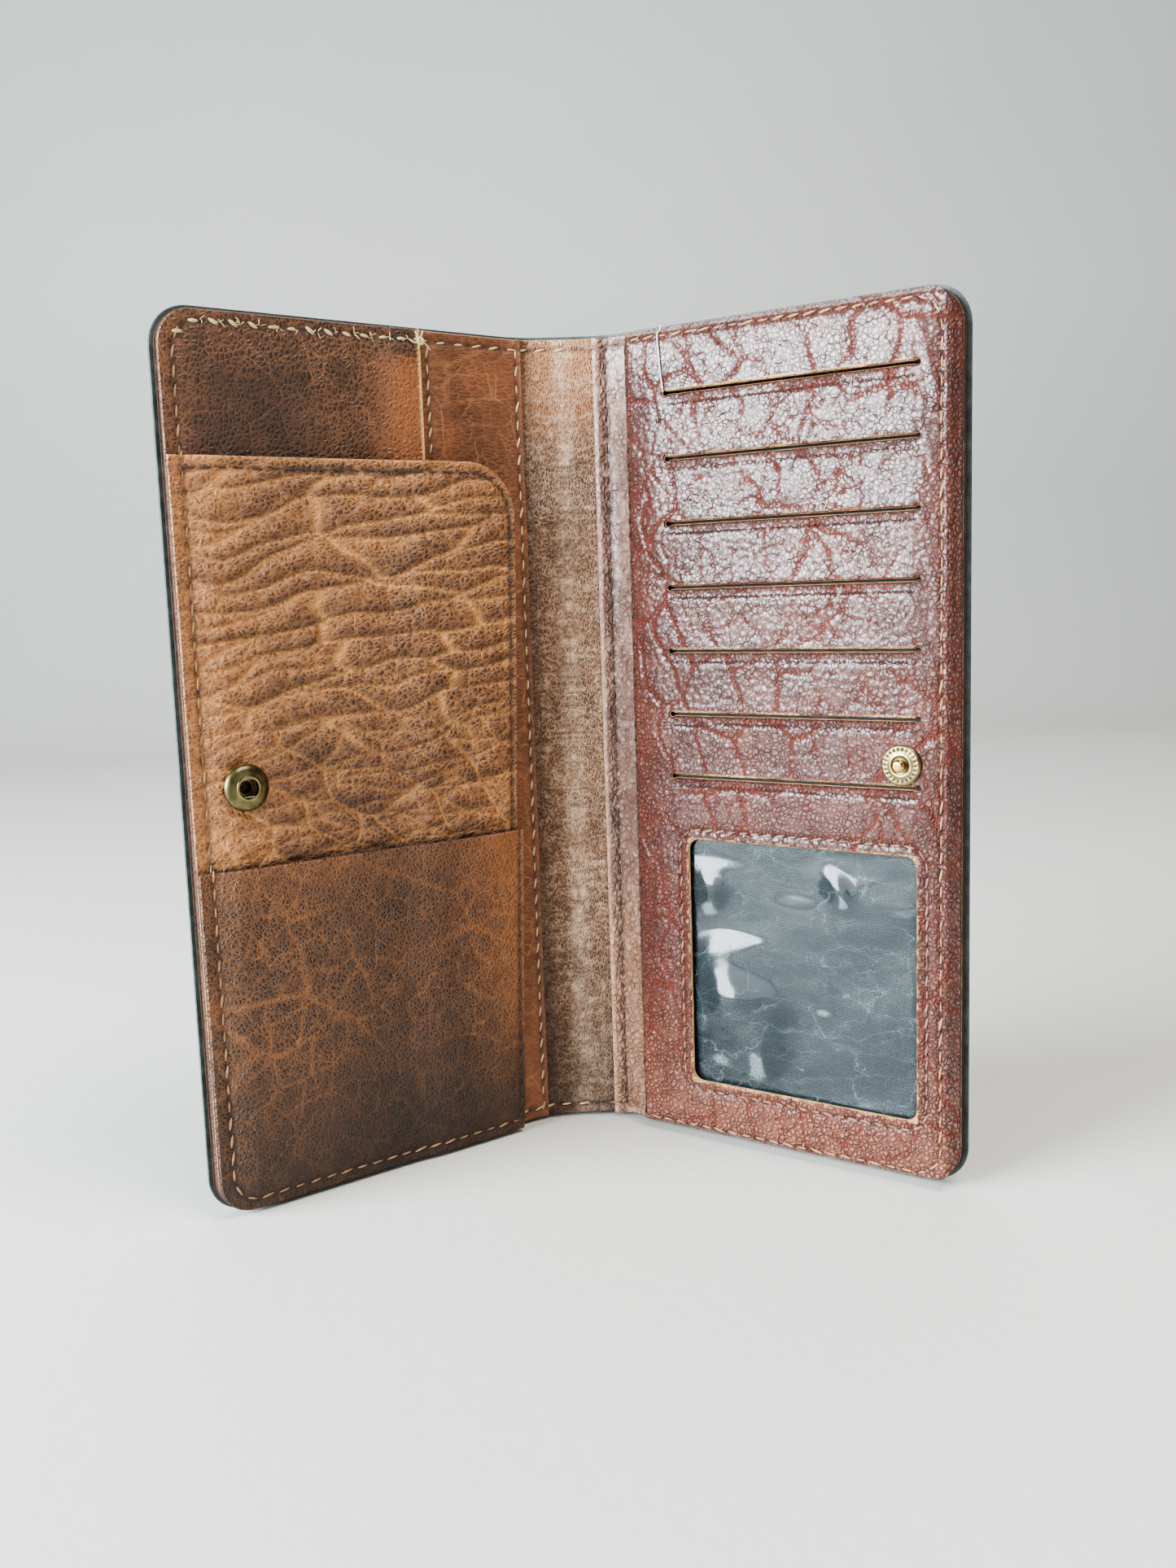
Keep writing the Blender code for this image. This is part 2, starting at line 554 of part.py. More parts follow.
def build_spring(leaf, steel, level):
    """A bent wire with two straight legs, which grip the stud from both sides."""
    ring = SPRING_GROOVE - GAP - SPRING_WIRE
    half_chord = sqrt(ring ** 2 - SPRING_SPREAD ** 2)
    turn = 2 / pi * atan2(SPRING_SPREAD, half_chord)
    bend = arc((SNAP_OUT, SNAP_HEIGHT), ring, turn, -turn, 8)
    path = [(SNAP_OUT - half_chord, SNAP_HEIGHT + SPRING_SPREAD)] + bend
    path += [(SNAP_OUT - half_chord, SNAP_HEIGHT - SPRING_SPREAD)]
    tube("socket_spring", leaf, steel, [(u, level, z) for u, z in path], SPRING_WIRE)


def build_eyelet(name, leaf, brass, panel_back, barrel_end):
    """Flange behind the leather and a barrel up through it, short of the piece it holds."""
    base = panel_back - GAP - EYELET_FLANGE
    length = barrel_end - GAP - base
    profile = [(EYELET_BORE, 0), (EYELET_BORE, length), (BARREL_RADIUS, length),
               (BARREL_RADIUS, EYELET_FLANGE), (EYELET_RADIUS, EYELET_FLANGE), (EYELET_RADIUS, 0)]
    turned(name, leaf, brass, profile, base)


def build_stud(leaf, brass):
    base = seat_of(right_face, STUD_RADIUS) + GAP
    tip = STUD_BASE + STUD_LENGTH
    profile = [(0, 0), (STUD_RADIUS, 0), (STUD_RADIUS, STUD_BASE * 0.6), (STUD_RADIUS * 0.93, STUD_BASE),
               (STUD_NECK_RADIUS, STUD_BASE), (STUD_NECK_RADIUS, tip - STUD_TIP_LENGTH),
               (STUD_TIP_RADIUS, tip - STUD_TIP_LENGTH * 0.65),
               (STUD_TIP_RADIUS, tip - STUD_TIP_LENGTH * 0.35), (STUD_TIP_RADIUS * 0.7, tip), (0, tip)]
    turned("snap_stud", leaf, brass, profile, base)
    build_eyelet("stud_eyelet", leaf, brass, back_of(card_level, EYELET_RADIUS), base)


def centre_on_origin(frame):
    """Puts the origin under the middle of the whole wallet, at its lower edge."""
    bpy.context.view_layer.update()
    solids = [item for item in bpy.data.objects if item.type in {"MESH", "CURVE"}]
    corners = [item.matrix_world @ vert.co for item in solids if item.type == "MESH"
               for vert in item.data.vertices]
    for axis in (0, 1):
        values = [corner[axis] for corner in corners]
        frame.location[axis] = -(min(values) + max(values)) / 2


def main():
    clear_scene()
    black = make_material("black_cover_leather", (0.016, 0.015, 0.015), 0.32)
    brass = make_material("antique_brass", (0.30, 0.25, 0.15), 0.38, 1.0)
    steel = make_material("spring_steel", (0.45, 0.43, 0.40), 0.30, 1.0)
    cotton = make_material("waxed_thread", (0.55, 0.42, 0.28), 0.75)
    nylon = make_material("slate_nylon", (0.055, 0.065, 0.075), 0.70)
    colours = {
        "lining": make_material("lining_leather", (0.10, 0.048, 0.028), 0.60),
        "spine": make_material("spine_leather", (0.20, 0.085, 0.045), 0.50),
        "strip": make_material("pull_up_leather", (0.22, 0.085, 0.035), 0.45),
        "cash": make_material("dark_pull_up_leather", (0.12, 0.042, 0.020), 0.42),
        "phone": make_material("bison_leather", (0.26, 0.110, 0.045), 0.48),
        "lower": make_material("crackle_leather", (0.15, 0.055, 0.026), 0.45),
        "card": make_material("pebbled_leather", (0.22, 0.075, 0.045), 0.40),
        "vinyl": make_material("clear_vinyl", (0.30, 0.36, 0.38), 0.12),
        "nylon": nylon,
    }
    frame = make_empty("wallet_frame", (0, 0, 0))
    spine = {"name": "spine", "side": 1, "axis": frame}
    left_axis = make_empty("left_fold_axis", (-SPINE_WIDTH / 2, 0, 0), frame, OPEN_ANGLE)
    right_axis = make_empty("right_fold_axis", (SPINE_WIDTH / 2, 0, 0), frame, -OPEN_ANGLE)
    left = {"name": "left", "side": -1, "axis": left_axis}
    right = {"name": "right", "side": 1, "axis": right_axis}
    build_cover(spine, (left, right), black)
    build_spine(spine, colours["spine"], cotton)
    build_left_panels(left, colours)
    build_left_pockets(left, colours)
    build_left_seams(left, cotton)
    build_socket(left, brass, steel)
    build_right_panels(right, colours)
    build_card_pockets(right, nylon)
    build_right_seams(right, cotton)
    build_stud(right, brass)
    centre_on_origin(frame)


main()
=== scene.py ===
import bmesh
import bpy
import json
import numpy as np
from math import cos, pi, radians, sin, tan
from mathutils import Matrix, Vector
from mathutils.geometry import delaunay_2d_cdt
from mathutils.kdtree import KDTree


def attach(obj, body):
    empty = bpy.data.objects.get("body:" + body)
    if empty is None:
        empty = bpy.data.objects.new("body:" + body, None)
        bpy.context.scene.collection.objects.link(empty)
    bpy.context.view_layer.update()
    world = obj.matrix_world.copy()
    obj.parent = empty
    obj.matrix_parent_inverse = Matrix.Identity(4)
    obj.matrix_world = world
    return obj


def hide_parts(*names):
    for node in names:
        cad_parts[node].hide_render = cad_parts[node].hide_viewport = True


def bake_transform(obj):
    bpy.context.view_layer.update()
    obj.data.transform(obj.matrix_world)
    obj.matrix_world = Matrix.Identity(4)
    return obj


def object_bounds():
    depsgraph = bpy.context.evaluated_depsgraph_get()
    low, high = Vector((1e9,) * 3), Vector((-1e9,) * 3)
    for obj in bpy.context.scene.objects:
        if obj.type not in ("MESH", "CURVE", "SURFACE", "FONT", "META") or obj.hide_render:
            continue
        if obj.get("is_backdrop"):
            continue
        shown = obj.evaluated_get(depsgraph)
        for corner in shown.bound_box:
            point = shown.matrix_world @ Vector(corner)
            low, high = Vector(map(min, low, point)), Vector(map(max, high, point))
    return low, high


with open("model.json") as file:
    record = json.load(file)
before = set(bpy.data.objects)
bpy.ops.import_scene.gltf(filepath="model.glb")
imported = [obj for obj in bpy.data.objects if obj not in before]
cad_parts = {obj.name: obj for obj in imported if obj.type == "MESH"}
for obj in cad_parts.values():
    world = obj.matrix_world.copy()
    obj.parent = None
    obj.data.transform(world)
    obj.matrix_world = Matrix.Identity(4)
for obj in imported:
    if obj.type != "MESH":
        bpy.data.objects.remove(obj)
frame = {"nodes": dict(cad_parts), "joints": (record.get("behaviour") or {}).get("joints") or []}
cadLow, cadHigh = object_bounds()
print("frame loaded")

# ---- camera, floor and lights
view = dict(lens=32.128, place=(-0.00455, -0.31274, 0.1304), turn=(82.214, 1.856, -1.573))
cameraData = bpy.data.cameras.new("camera")
cameraData.lens = view["lens"]
cameraData.clip_start = 0.01
camera = bpy.data.objects.new("camera", cameraData)
camera.location = view["place"]
camera.rotation_euler = [radians(a) for a in view["turn"]]
bpy.context.scene.collection.objects.link(camera)
bpy.context.scene.camera = camera

# each lamp: where it stands, what it looks at, width, height, watts, colour
lamps = dict(
    window=((-0.95, -0.46, 0.43), (0.04, 0, 0.15), 0.70, 0.60, 50.0, (0.84, 0.94, 1.0)),
    paleWall=((-1.05, -0.95, 0.50), (0.04, 0, 0.12), 1.40, 0.90, 17.0, (0.86, 0.95, 1.0)),
    overhead=((0.26, -0.26, 0.85), (-0.02, 0, 0.10), 0.42, 0.34, 6.8, (1.0, 0.95, 0.88)),
    rightFill=((0.75, -0.75, 0.30), (-0.04, 0, 0.10), 0.40, 0.40, 1.1, (1.0, 0.93, 0.84)),
    behind=((0.10, 0.80, 0.85), (0, 0.02, 0.10), 0.90, 0.50, 4.0, (0.95, 0.98, 1.0)),
)
for lampName, (stand, aim, wide, high, watts, tint) in lamps.items():
    lampData = bpy.data.lights.new(lampName, "AREA")
    lampData.shape = "RECTANGLE"
    lampData.size, lampData.size_y = wide, high
    lampData.energy, lampData.color = watts, tint
    lamp = bpy.data.objects.new(lampName, lampData)
    lamp.location = stand
    lamp.rotation_euler = (Vector(aim) - Vector(stand)).to_track_quat("-Z", "Y").to_euler()
    bpy.context.scene.collection.objects.link(lamp)


# ---- shader expressions
def joined(tree, value, socket):
    if isinstance(value, Wire):
        tree.links.new(value.socket, socket)
    elif socket.type == "RGBA" and len(value) == 3:
        socket.default_value = (*value, 1)
    else:
        socket.default_value = value


class Wire:
    # one output socket; sums and products of wires add their Math nodes
    def __init__(self, tree, socket):
        self.tree, self.socket = tree, socket

    def maths(self, operation, *values, clamp=False):
        node = self.tree.nodes.new("ShaderNodeMath")
        node.operation, node.use_clamp = operation, clamp
        for value, socket in zip(values, node.inputs):
            joined(self.tree, value, socket)
        return Wire(self.tree, node.outputs[0])

    def __add__(self, other): return self.maths("ADD", self, other)
    def __radd__(self, other): return self.maths("ADD", other, self)
    def __sub__(self, other): return self.maths("SUBTRACT", self, other)
    def __rsub__(self, other): return self.maths("SUBTRACT", other, self)
    def __mul__(self, other): return self.maths("MULTIPLY", self, other)
    def __rmul__(self, other): return self.maths("MULTIPLY", other, self)
    def __truediv__(self, other): return self.maths("DIVIDE", self, other)
    def __pow__(self, other): return self.maths("POWER", self, other)
    def clamped(self): return self.maths("ADD", self, 0.0, clamp=True)

    def between(self, low, high):  # 0 at low, 1 at high, smooth in between
        node = self.tree.nodes.new("ShaderNodeMapRange")
        node.interpolation_type = "SMOOTHSTEP"
        for name, value in (("Value", self), ("From Min", low), ("From Max", high)):
            joined(self.tree, value, node.inputs[name])
        return Wire(self.tree, node.outputs[0])


class Finish:
    # a material under construction
    def __init__(self, name):
        self.material = bpy.data.materials.new(name)
        self.material.use_nodes = True
        self.tree = self.material.node_tree
        self.surface = next(n for n in self.tree.nodes if n.type == "BSDF_PRINCIPLED")

    def node(self, kind, output=0, settings=None, **sockets):
        node = self.tree.nodes.new("ShaderNode" + kind)
        for key, value in (settings or {}).items():
            if key == "stops":
                ramp = node.color_ramp
                while len(ramp.elements) < len(value):
                    ramp.elements.new(0.5)
                for element, (at, colour) in zip(ramp.elements, value):
                    element.position, element.color = at, (*colour, 1)
            else:
                setattr(node, key, value)
        for key, value in sockets.items():
            at = int(key[2:]) if key.startswith("in") and key[2:].isdigit() else key.replace("_", " ")
            joined(self.tree, value, node.inputs[at])
        return Wire(self.tree, node.outputs[output])

    def attribute(self, name, output="Fac"):
        return self.node("Attribute", output, {"attribute_name": name})

    def mix(self, share, first, second, blend="MIX"):
        return self.node("Mix", 2, {"data_type": "RGBA", "blend_type": blend}, in0=share, in6=first, in7=second)

    def moved(self, vector, scale=(1, 1, 1), turn=(0, 0, 0), shift=(0, 0, 0)):
        return self.node("Mapping", Vector=vector, Scale=scale, Rotation=turn, Location=shift)

    def shifted(self, vector, other, amount):
        scaled = self.node("VectorMath", 0, {"operation": "SCALE"}, in0=other, in3=amount)
        return self.node("VectorMath", 0, {"operation": "ADD"}, in0=vector, in1=scaled)

    def noise(self, vector, scale, detail=3.0, rough=0.55, output="Factor"):
        return self.node("TexNoise", 0 if output == "Factor" else 1, Vector=vector, Scale=scale,
                         Detail=detail, Roughness=rough)

    def cells(self, vector, scale, output="edge", randomness=1.0):
        feature = "DISTANCE_TO_EDGE" if output == "edge" else "F1"
        return self.node("TexVoronoi", "Distance", {"feature": feature}, Vector=vector, Scale=scale,
                         Randomness=randomness)

    def bump(self, height, distance, strength=1.0, under=None):
        sockets = dict(Height=height, Distance=distance, Strength=strength)
        if under is not None:
            sockets["Normal"] = under
        return self.node("Bump", **sockets)

    def finish(self, **sockets):
        for key, value in sockets.items():
            joined(self.tree, value, self.surface.inputs[key.replace("_", " ")])
        return self.material


def srgb(red, green, blue):  # display values, 0 to 255
    parts = np.array([red, green, blue]) / 255
    return tuple(float(v) for v in np.where(parts < 0.0405, parts / 12.92, ((parts + 0.055) / 1.055) ** 2.4))


def leatherFinish(name, look):
    # patterns follow the leather: "place" holds millimetres over the piece, "fold" its raised or furrowed lines, and
    # on the spine also a painted highlight streak
    f = Finish(name)
    place = f.attribute("place", "Vector")
    fold, groove = f.attribute("fold"), f.attribute("groove")
    tone = f.attribute("tone")
    bent = f.shifted(place, f.noise(place, 0.35, 2.0, output="Color"), 1.6)
    fine = f.cells(f.moved(bent, look.get("stretch", (1, 1, 1))), 1 / look["cell"])
    coarse = f.cells(f.moved(bent, turn=(0, 0, 0.5)), 1 / look["coarse"])
    patch = f.noise(place, 0.055, 3.0, 0.6)
    speckle = f.noise(place, 2.6, 3.0, 0.6)
    least = look.get("lineFrom", 0.4)
    come = f.noise(place, 0.21, 2.0).between(0.36, 0.62) * (1 - least) + least
    fineLine = (1 - fine.between(0.0, look["line"])) * come
    coarseLine = 1 - coarse.between(0.0, look["coarseLine"])
    colour = f.mix(patch.between(0.32, 0.68), look["dark"], look["middle"])
    colour = f.mix(speckle.between(0.35, 0.75) * 0.35, colour, look["light"])
    # tone lightens towards this colour: pull-up lightening, and painted light where a surface's tone puts it, such
    # as the tops of wrinkle bands and the card panel's foot
    colour = f.mix(tone.between(0.0, 1.0), colour, look["pulledAndLit"])
    colour = f.mix((fineLine * look["fineVein"]).clamped(), colour, look["vein"])
    broken = coarseLine * look["coarseVein"] * f.noise(place, 0.12, 2.0).between(0.4, 0.6)
    colour = f.mix(broken.clamped(), colour, look["vein"])
    colour = f.mix((fold * look["foldVein"]).clamped(), colour, look["foldColour"])
    # this tint darkens towards the deep colour: painted shade in creases, under slit lips, beside pockets and
    # towards some feet, and real darkening along seams and at needle marks
    colour = f.mix((groove * 0.8).clamped(), colour, look["deep"])
    colour = f.mix(f.attribute("raw"), colour, srgb(214, 172, 118))
    low = (fineLine * 0.9 + coarseLine * 0.5 + fold * look.get("foldDull", 0.5) + groove).clamped()
    rough = look["rough"] + (speckle - 0.5) * 0.22 + low * look.get("dull", 0.3)
    coat = (1 - low) * look["coat"] * (0.55 + speckle * 0.9) if "coat" in look else 0.0
    height = fine.between(0.0, look.get("dome", 0.42)) * look["grain"] + coarse.between(0, 0.12) * look["crease"]
    height = height + f.noise(place, 4.2, 2.0) * 0.12
    return f.finish(Base_Color=colour, Roughness=rough.clamped(), Normal=f.bump(height, look["relief"]),
                    Specular_IOR_Level=look.get("gloss", 0.5), Coat_Weight=coat,
                    Coat_Roughness=look.get("coatRough", 0.3))


colourNames = ("dark", "middle", "light", "pulledAndLit", "vein", "foldColour", "deep")
patternNames = ("cell", "coarse", "line", "coarseLine", "fineVein", "coarseVein", "foldVein", "rough", "grain",
                "crease", "relief")


def leather(colours, pattern, **extra):  # both in the order of the names above
    look = dict(zip(colourNames, [srgb(*colour) for colour in colours]))
    return dict(look, **dict(zip(patternNames, pattern)), **extra)


leathers = dict(
    bison=leather(
        ((66, 38, 22), (98, 60, 36), (126, 80, 48), (148, 95, 56), (186, 132, 84), (214, 152, 94), (34, 18, 10)),
        (1.15, 5.2, 0.18, 0.04, 0.5, 0.4, 0.9, 0.4, 0.8, 0.4, 0.00030),
        stretch=(0.8, 1.2, 1), gloss=0.6, foldDull=0.2),
    crackle=leather(
        ((50, 28, 15), (74, 44, 25), (102, 64, 39), (128, 80, 46), (150, 98, 58), (150, 97, 56), (26, 13, 5)),
        (0.95, 6.5, 0.17, 0.03, 0.5, 0.6, 0.55, 0.4, 0.8, 0.35, 0.00026), gloss=0.6, foldDull=0.2),
    cash=leather(
        ((42, 27, 20), (74, 45, 30), (100, 64, 42), (142, 84, 46), (148, 99, 65), (142, 98, 65), (24, 13, 8)),
        (1.1, 7.5, 0.16, 0.028, 0.5, 0.6, 0.4, 0.44, 0.7, 0.3, 0.00020), gloss=0.55, foldDull=0.2),
    strip=leather(
        ((80, 46, 30), (108, 67, 44), (132, 87, 61), (138, 82, 50), (168, 117, 82), (172, 118, 80), (30, 16, 11)),
        (1.1, 8.0, 0.14, 0.03, 0.4, 0.75, 0.6, 0.44, 0.45, 0.22, 0.00014),
        stretch=(0.35, 1.5, 1), foldDull=0.2),
    spine=leather(
        ((72, 43, 29), (112, 77, 55), (154, 116, 88), (156, 99, 58), (186, 148, 118), (212, 180, 152), (34, 19, 12)),
        (0.8, 5.0, 0.2, 0.04, 0.6, 0.3, 0.7, 0.36, 1.0, 0.3, 0.00030),
        stretch=(1.6, 0.7, 1), gloss=0.6, foldDull=0.0),
    pebbled=leather(
        ((84, 36, 27), (120, 60, 45), (152, 88, 68), (186, 116, 88), (50, 19, 14), (104, 44, 32), (32, 13, 8)),
        (1.05, 5.5, 0.2, 0.03, 0.95, 0.5, 0.85, 0.42, 1.3, 0.5, 0.00044),
        gloss=0.4, coat=1.0, coatRough=0.24, dome=0.34, foldDull=0.8, dull=0.4, lineFrom=0.7),
    slip=leather(
        ((92, 58, 46), (138, 98, 80), (178, 142, 124), (186, 132, 98), (70, 36, 27), (208, 172, 148), (30, 15, 11)),
        (1.5, 5.0, 0.17, 0.05, 0.75, 0.5, 0.55, 0.4, 1.1, 0.5, 0.00045),
        gloss=0.5, coat=0.9, coatRough=0.26, dome=0.34, foldDull=0.3, dull=0.4),
    lining=leather(
        ((76, 47, 32), (94, 60, 41), (112, 75, 52), (112, 75, 52), (124, 85, 60), (124, 85, 60), (32, 19, 12)),
        (1.0, 6.0, 0.15, 0.04, 0.3, 0.3, 0.3, 0.6, 0.5, 0.3, 0.00014)),
    cover=leather(
        ((10, 10, 11), (17, 17, 19), (26, 27, 29), (38, 41, 43), (6, 6, 7), (8, 8, 9), (4, 4, 4)),
        (1.3, 7.0, 0.16, 0.05, 0.5, 0.5, 0.4, 0.42, 1.0, 0.5, 0.00032),
        gloss=0.5, coat=0.45, coatRough=0.24, dome=0.36),
)
finishes = {key: leatherFinish(key + "Leather", look) for key, look in leathers.items()}


def rawEdgeFinish(name, pale, dark, rough):
    # cut side of the hide, with its fibres
    f = Finish(name)
    place = f.attribute("place", "Vector")
    fibre = f.noise(f.moved(place, (3.5, 3.5, 9.0)), 1.0, 4.0, 0.7)
    patch = f.noise(place, 0.3, 2.0)
    colour = f.mix((fibre * 0.6 + patch * 0.5).between(0.35, 0.8), dark, pale)
    return f.finish(Base_Color=colour, Roughness=rough, Normal=f.bump(fibre, 0.00012))


def threadFinish(name, pale, dark, rough):
    # twisted and waxed, with soiled and rubbed stretches
    f = Finish(name)
    place = f.node("TexCoord", "Object")
    ply = f.node("TexWave", "Fac", {"bands_direction": "DIAGONAL"}, Vector=place, Scale=1500.0, Distortion=1.2)
    soil = f.noise(place, 260.0, 3.0)
    colour = f.mix((soil * 0.8 + ply * 0.35).between(0.25, 0.85), dark, pale)
    return f.finish(Base_Color=colour, Roughness=rough, Normal=f.bump(ply, 0.00006), Sheen_Weight=0.2)


def metalFinish(name, bright, dull, rough):
    f = Finish(name)
    place = f.node("TexCoord", "Object")
    cloud = f.noise(place, 420.0, 4.0, 0.6)
    grit = f.noise(place, 2600.0, 3.0, 0.6)
    worn = f.attribute("worn")
    colour = f.mix((cloud.between(0.35, 0.7) * 0.5 + worn * 0.7).clamped(), dull, bright)
    return f.finish(Base_Color=colour, Metallic=1.0, Roughness=(rough + (grit - 0.5) * 0.25 - worn * 0.1).clamped(),
                    Normal=f.bump(grit * 0.4 + cloud * 0.6, 0.00005))


def nylonFinish(name, pale, dark, pitch):
    # plain weave: two crossed sets of yarns
    f = Finish(name)
    place = f.attribute("place", "Vector")
    turned = f.moved(place, (1, 1, 0), (0, 0, 0.08))
    warp = f.node("TexWave", "Fac", {"bands_direction": "X"}, Vector=turned, Scale=0.314 / pitch, Distortion=0.15)
    weft = f.node("TexWave", "Fac", {"bands_direction": "Y"}, Vector=turned, Scale=0.314 / pitch, Distortion=0.15)
    weave = warp * weft
    cloud = f.noise(place, 0.08, 2.0)
    dust = f.cells(place, 0.35, "near").between(0.10, 0.04)
    colour = f.mix((weave * 0.85 + (cloud - 0.5) * 0.25).clamped(), dark, pale)
    colour = f.mix(dust * 0.5, colour, srgb(170, 178, 180))
    return f.finish(Base_Color=colour, Roughness=0.55, Normal=f.bump(weave, 0.00008), Sheen_Weight=0.3)


# for each kind of finish: name, pale and dark colour, and its last measure
palettes = (
    (rawEdgeFinish, (("creamEdge", (206, 164, 114), (132, 84, 50), 0.85),
                     ("tanEdge", (190, 142, 98), (118, 78, 50), 0.85),
                     ("darkEdge", (70, 43, 28), (36, 21, 14), 0.85),
                     # the cover's cut edge: a dark dyed edge, with a pale grey-green that is painted reflection of
                     # the room's light
                     ("coverEdge", (88, 101, 97), (30, 36, 36), 0.34))),
    (threadFinish, (("creamThread", (236, 216, 168), (176, 146, 98), 0.62),
                    ("tanThread", (196, 150, 104), (120, 80, 50), 0.62),
                    ("darkThread", (74, 47, 33), (30, 18, 12), 0.62),
                    ("rubbedThread", (176, 136, 112), (74, 44, 33), 0.62),
                    ("whiteThread", (240, 240, 240), (198, 196, 192), 0.62),
                    ("blackThread", (34, 34, 36), (12, 12, 13), 0.62))),
    (metalFinish, (("greenBrass", (150, 138, 96), (82, 78, 56), 0.36),
                   ("paleBrass", (184, 168, 124), (112, 100, 70), 0.36),
                   ("tipBrass", (214, 176, 104), (150, 112, 56), 0.24),
                   ("steel", (170, 168, 160), (96, 92, 84), 0.3))),
    (nylonFinish, (("windowNylon", (88, 103, 109), (16, 22, 26), 0.6),
                   ("pocketNylon", (60, 48, 42), (30, 24, 22), 0.5))),
)
for makeFinish, rows in palettes:
    for name, pale, dark, measure in rows:
        finishes[name] = makeFinish(name, srgb(*pale), srgb(*dark), measure)


# swellings of the clear sheet: middle, half widths and rise in millimetres, and how much they lean
swellings = ((33, 33, 11, 12, 3.5, 0.35), (41, 24, 6, 9, 1.5, -0.4), (28.5, 60.5, 4.2, 4.4, 1.2, 0.0),
             (61, 63.6, 3.4, 3.4, 1.0, 0.6), (57, 39, 3.2, 4.2, 0.6, 0.0), (71, 33, 4.0, 6.0, 0.7, 0.5))


def vinylFinish(name):
    # clear sheet: mostly let through, with a shine, slack waves, a faint haze and hair scratches
    f = Finish(name)
    place = f.attribute("place", "Vector")
    across, up = f.node("SeparateXYZ", 0, Vector=place), f.node("SeparateXYZ", 1, Vector=place)
    haze = f.noise(place, 0.06, 2.0, 0.5)
    hair = 1 - f.cells(f.moved(f.shifted(place, f.noise(place, 0.2, 2.0, output="Color"), 6.0),
                               (0.5, 1.6, 1), (0, 0, 0.7)), 0.12).between(0.0, 0.010)
    slack = f.noise(f.moved(place, (0.05, 0.11, 1), (0, 0, 0.5)), 1.0, 1.0, 0.3) * 1.5
    for u, z, wide, high, rise, lean in swellings:
        x, y = (across - u) / wide, (up - z + (across - u) * lean) / high
        slack = slack + x.maths("EXPONENT", (x * x + y * y) * -1.0) * rise
    f.finish(Base_Color=f.mix(hair * 0.4, srgb(34, 44, 48), srgb(170, 196, 200)),
             Roughness=(0.11 + haze * 0.06 + hair * 0.1).clamped(), Normal=f.bump(slack, 0.001),
             IOR=1.55, Specular_IOR_Level=1.0)
    clear = f.node("BsdfTransparent", Color=(0.93, 0.97, 0.98))
    share = (0.34 + haze.between(0.4, 0.75) * 0.06 + hair * 0.05
             + f.node("LayerWeight", "Facing", Blend=0.3) * 0.3).clamped()
    both = f.node("MixShader", in0=share, in1=clear, in2=Wire(f.tree, f.surface.outputs[0]))
    out = next(n for n in f.tree.nodes if n.type == "OUTPUT_MATERIAL")
    f.tree.links.new(both.socket, out.inputs["Surface"])
    return f.material


finishes["clearVinyl"] = vinylFinish("clearVinyl")


def floorFinish(name):
    f = Finish(name)
    place = f.node("TexCoord", "Object")
    cloud = f.noise(place, 3.0, 3.0)
    return f.finish(Base_Color=f.mix(cloud, srgb(206, 204, 198), srgb(216, 214, 209)), Roughness=0.6,
                    Normal=f.bump(f.noise(place, 220.0, 2.0), 0.0001))


print("finishes ready")

world = bpy.data.worlds.new("room")
world.use_nodes = True
world.node_tree.nodes["Background"].inputs[0].default_value = (*srgb(196, 205, 202), 1)
world.node_tree.nodes["Background"].inputs[1].default_value = 0.24
bpy.context.scene.world = world
bpy.context.scene.view_settings.look = "AgX - Medium High Contrast"


def addMesh(name, points, faces, materials, slots=None, attributes=None, smooth=40):
    mesh = bpy.data.meshes.new(name)
    mesh.from_pydata([tuple(p) for p in points], [], [tuple(int(i) for i in face) for face in faces])
    for key in materials:
        mesh.materials.append(finishes[key])
    if slots is not None:
        mesh.polygons.foreach_set("material_index", np.asarray(slots, np.int32))
    for key, values in (attributes or {}).items():
        kind = "FLOAT_VECTOR" if np.ndim(values) == 2 else "FLOAT"
        layer = mesh.attributes.new(key, kind, "POINT").data
        layer.foreach_set("vector" if np.ndim(values) == 2 else "value", np.ravel(values).astype(np.float32))
    mesh.polygons.foreach_set("use_smooth", [True] * len(mesh.polygons))
    mesh.update()
    mesh.set_sharp_from_angle(angle=radians(smooth))
    piece = bpy.data.objects.new(name, mesh)
    bpy.context.scene.collection.objects.link(piece)
    return piece


# floor that sweeps up behind
sweep = dict(wide=3.0, front=-2.2, bend=0.9, radius=0.5, high=2.2)
profile = [(sweep["front"], 0), (sweep["bend"], 0)]
profile += [(sweep["bend"] + sweep["radius"] * sin(a), sweep["radius"] * (1 - cos(a)))
            for a in np.linspace(0.1, pi / 2, 14)]
profile += [(sweep["bend"] + sweep["radius"], sweep["high"])]
rows = [(x, y, cadLow.z - 0.0002 + z) for y, z in profile for x in (-sweep["wide"], sweep["wide"])]
finishes["floor"] = floorFinish("paleFloor")
floor = addMesh("floor", rows, [(2 * i, 2 * i + 1, 2 * i + 3, 2 * i + 2) for i in range(len(profile) - 1)],
                ["floor"])
floor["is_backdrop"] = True

# ---- where things lie: u out from a fold line, n in from the cover's inner face, z up, in millimetres
joints = {j["name"]: j["pos_m"] for j in frame["joints"]}
wallet = dict(high=float(cadHigh.z - cadLow.z) * 1000, leaf=88.7, edge=87.9, foot=0.8, top=189.2, corner=8.5,
              innerCorner=7.7, halfSpine=joints["right_fold"][0] * 1000, back=joints["right_fold"][1] * 1000,
              angle=radians(36), reach=5.0)


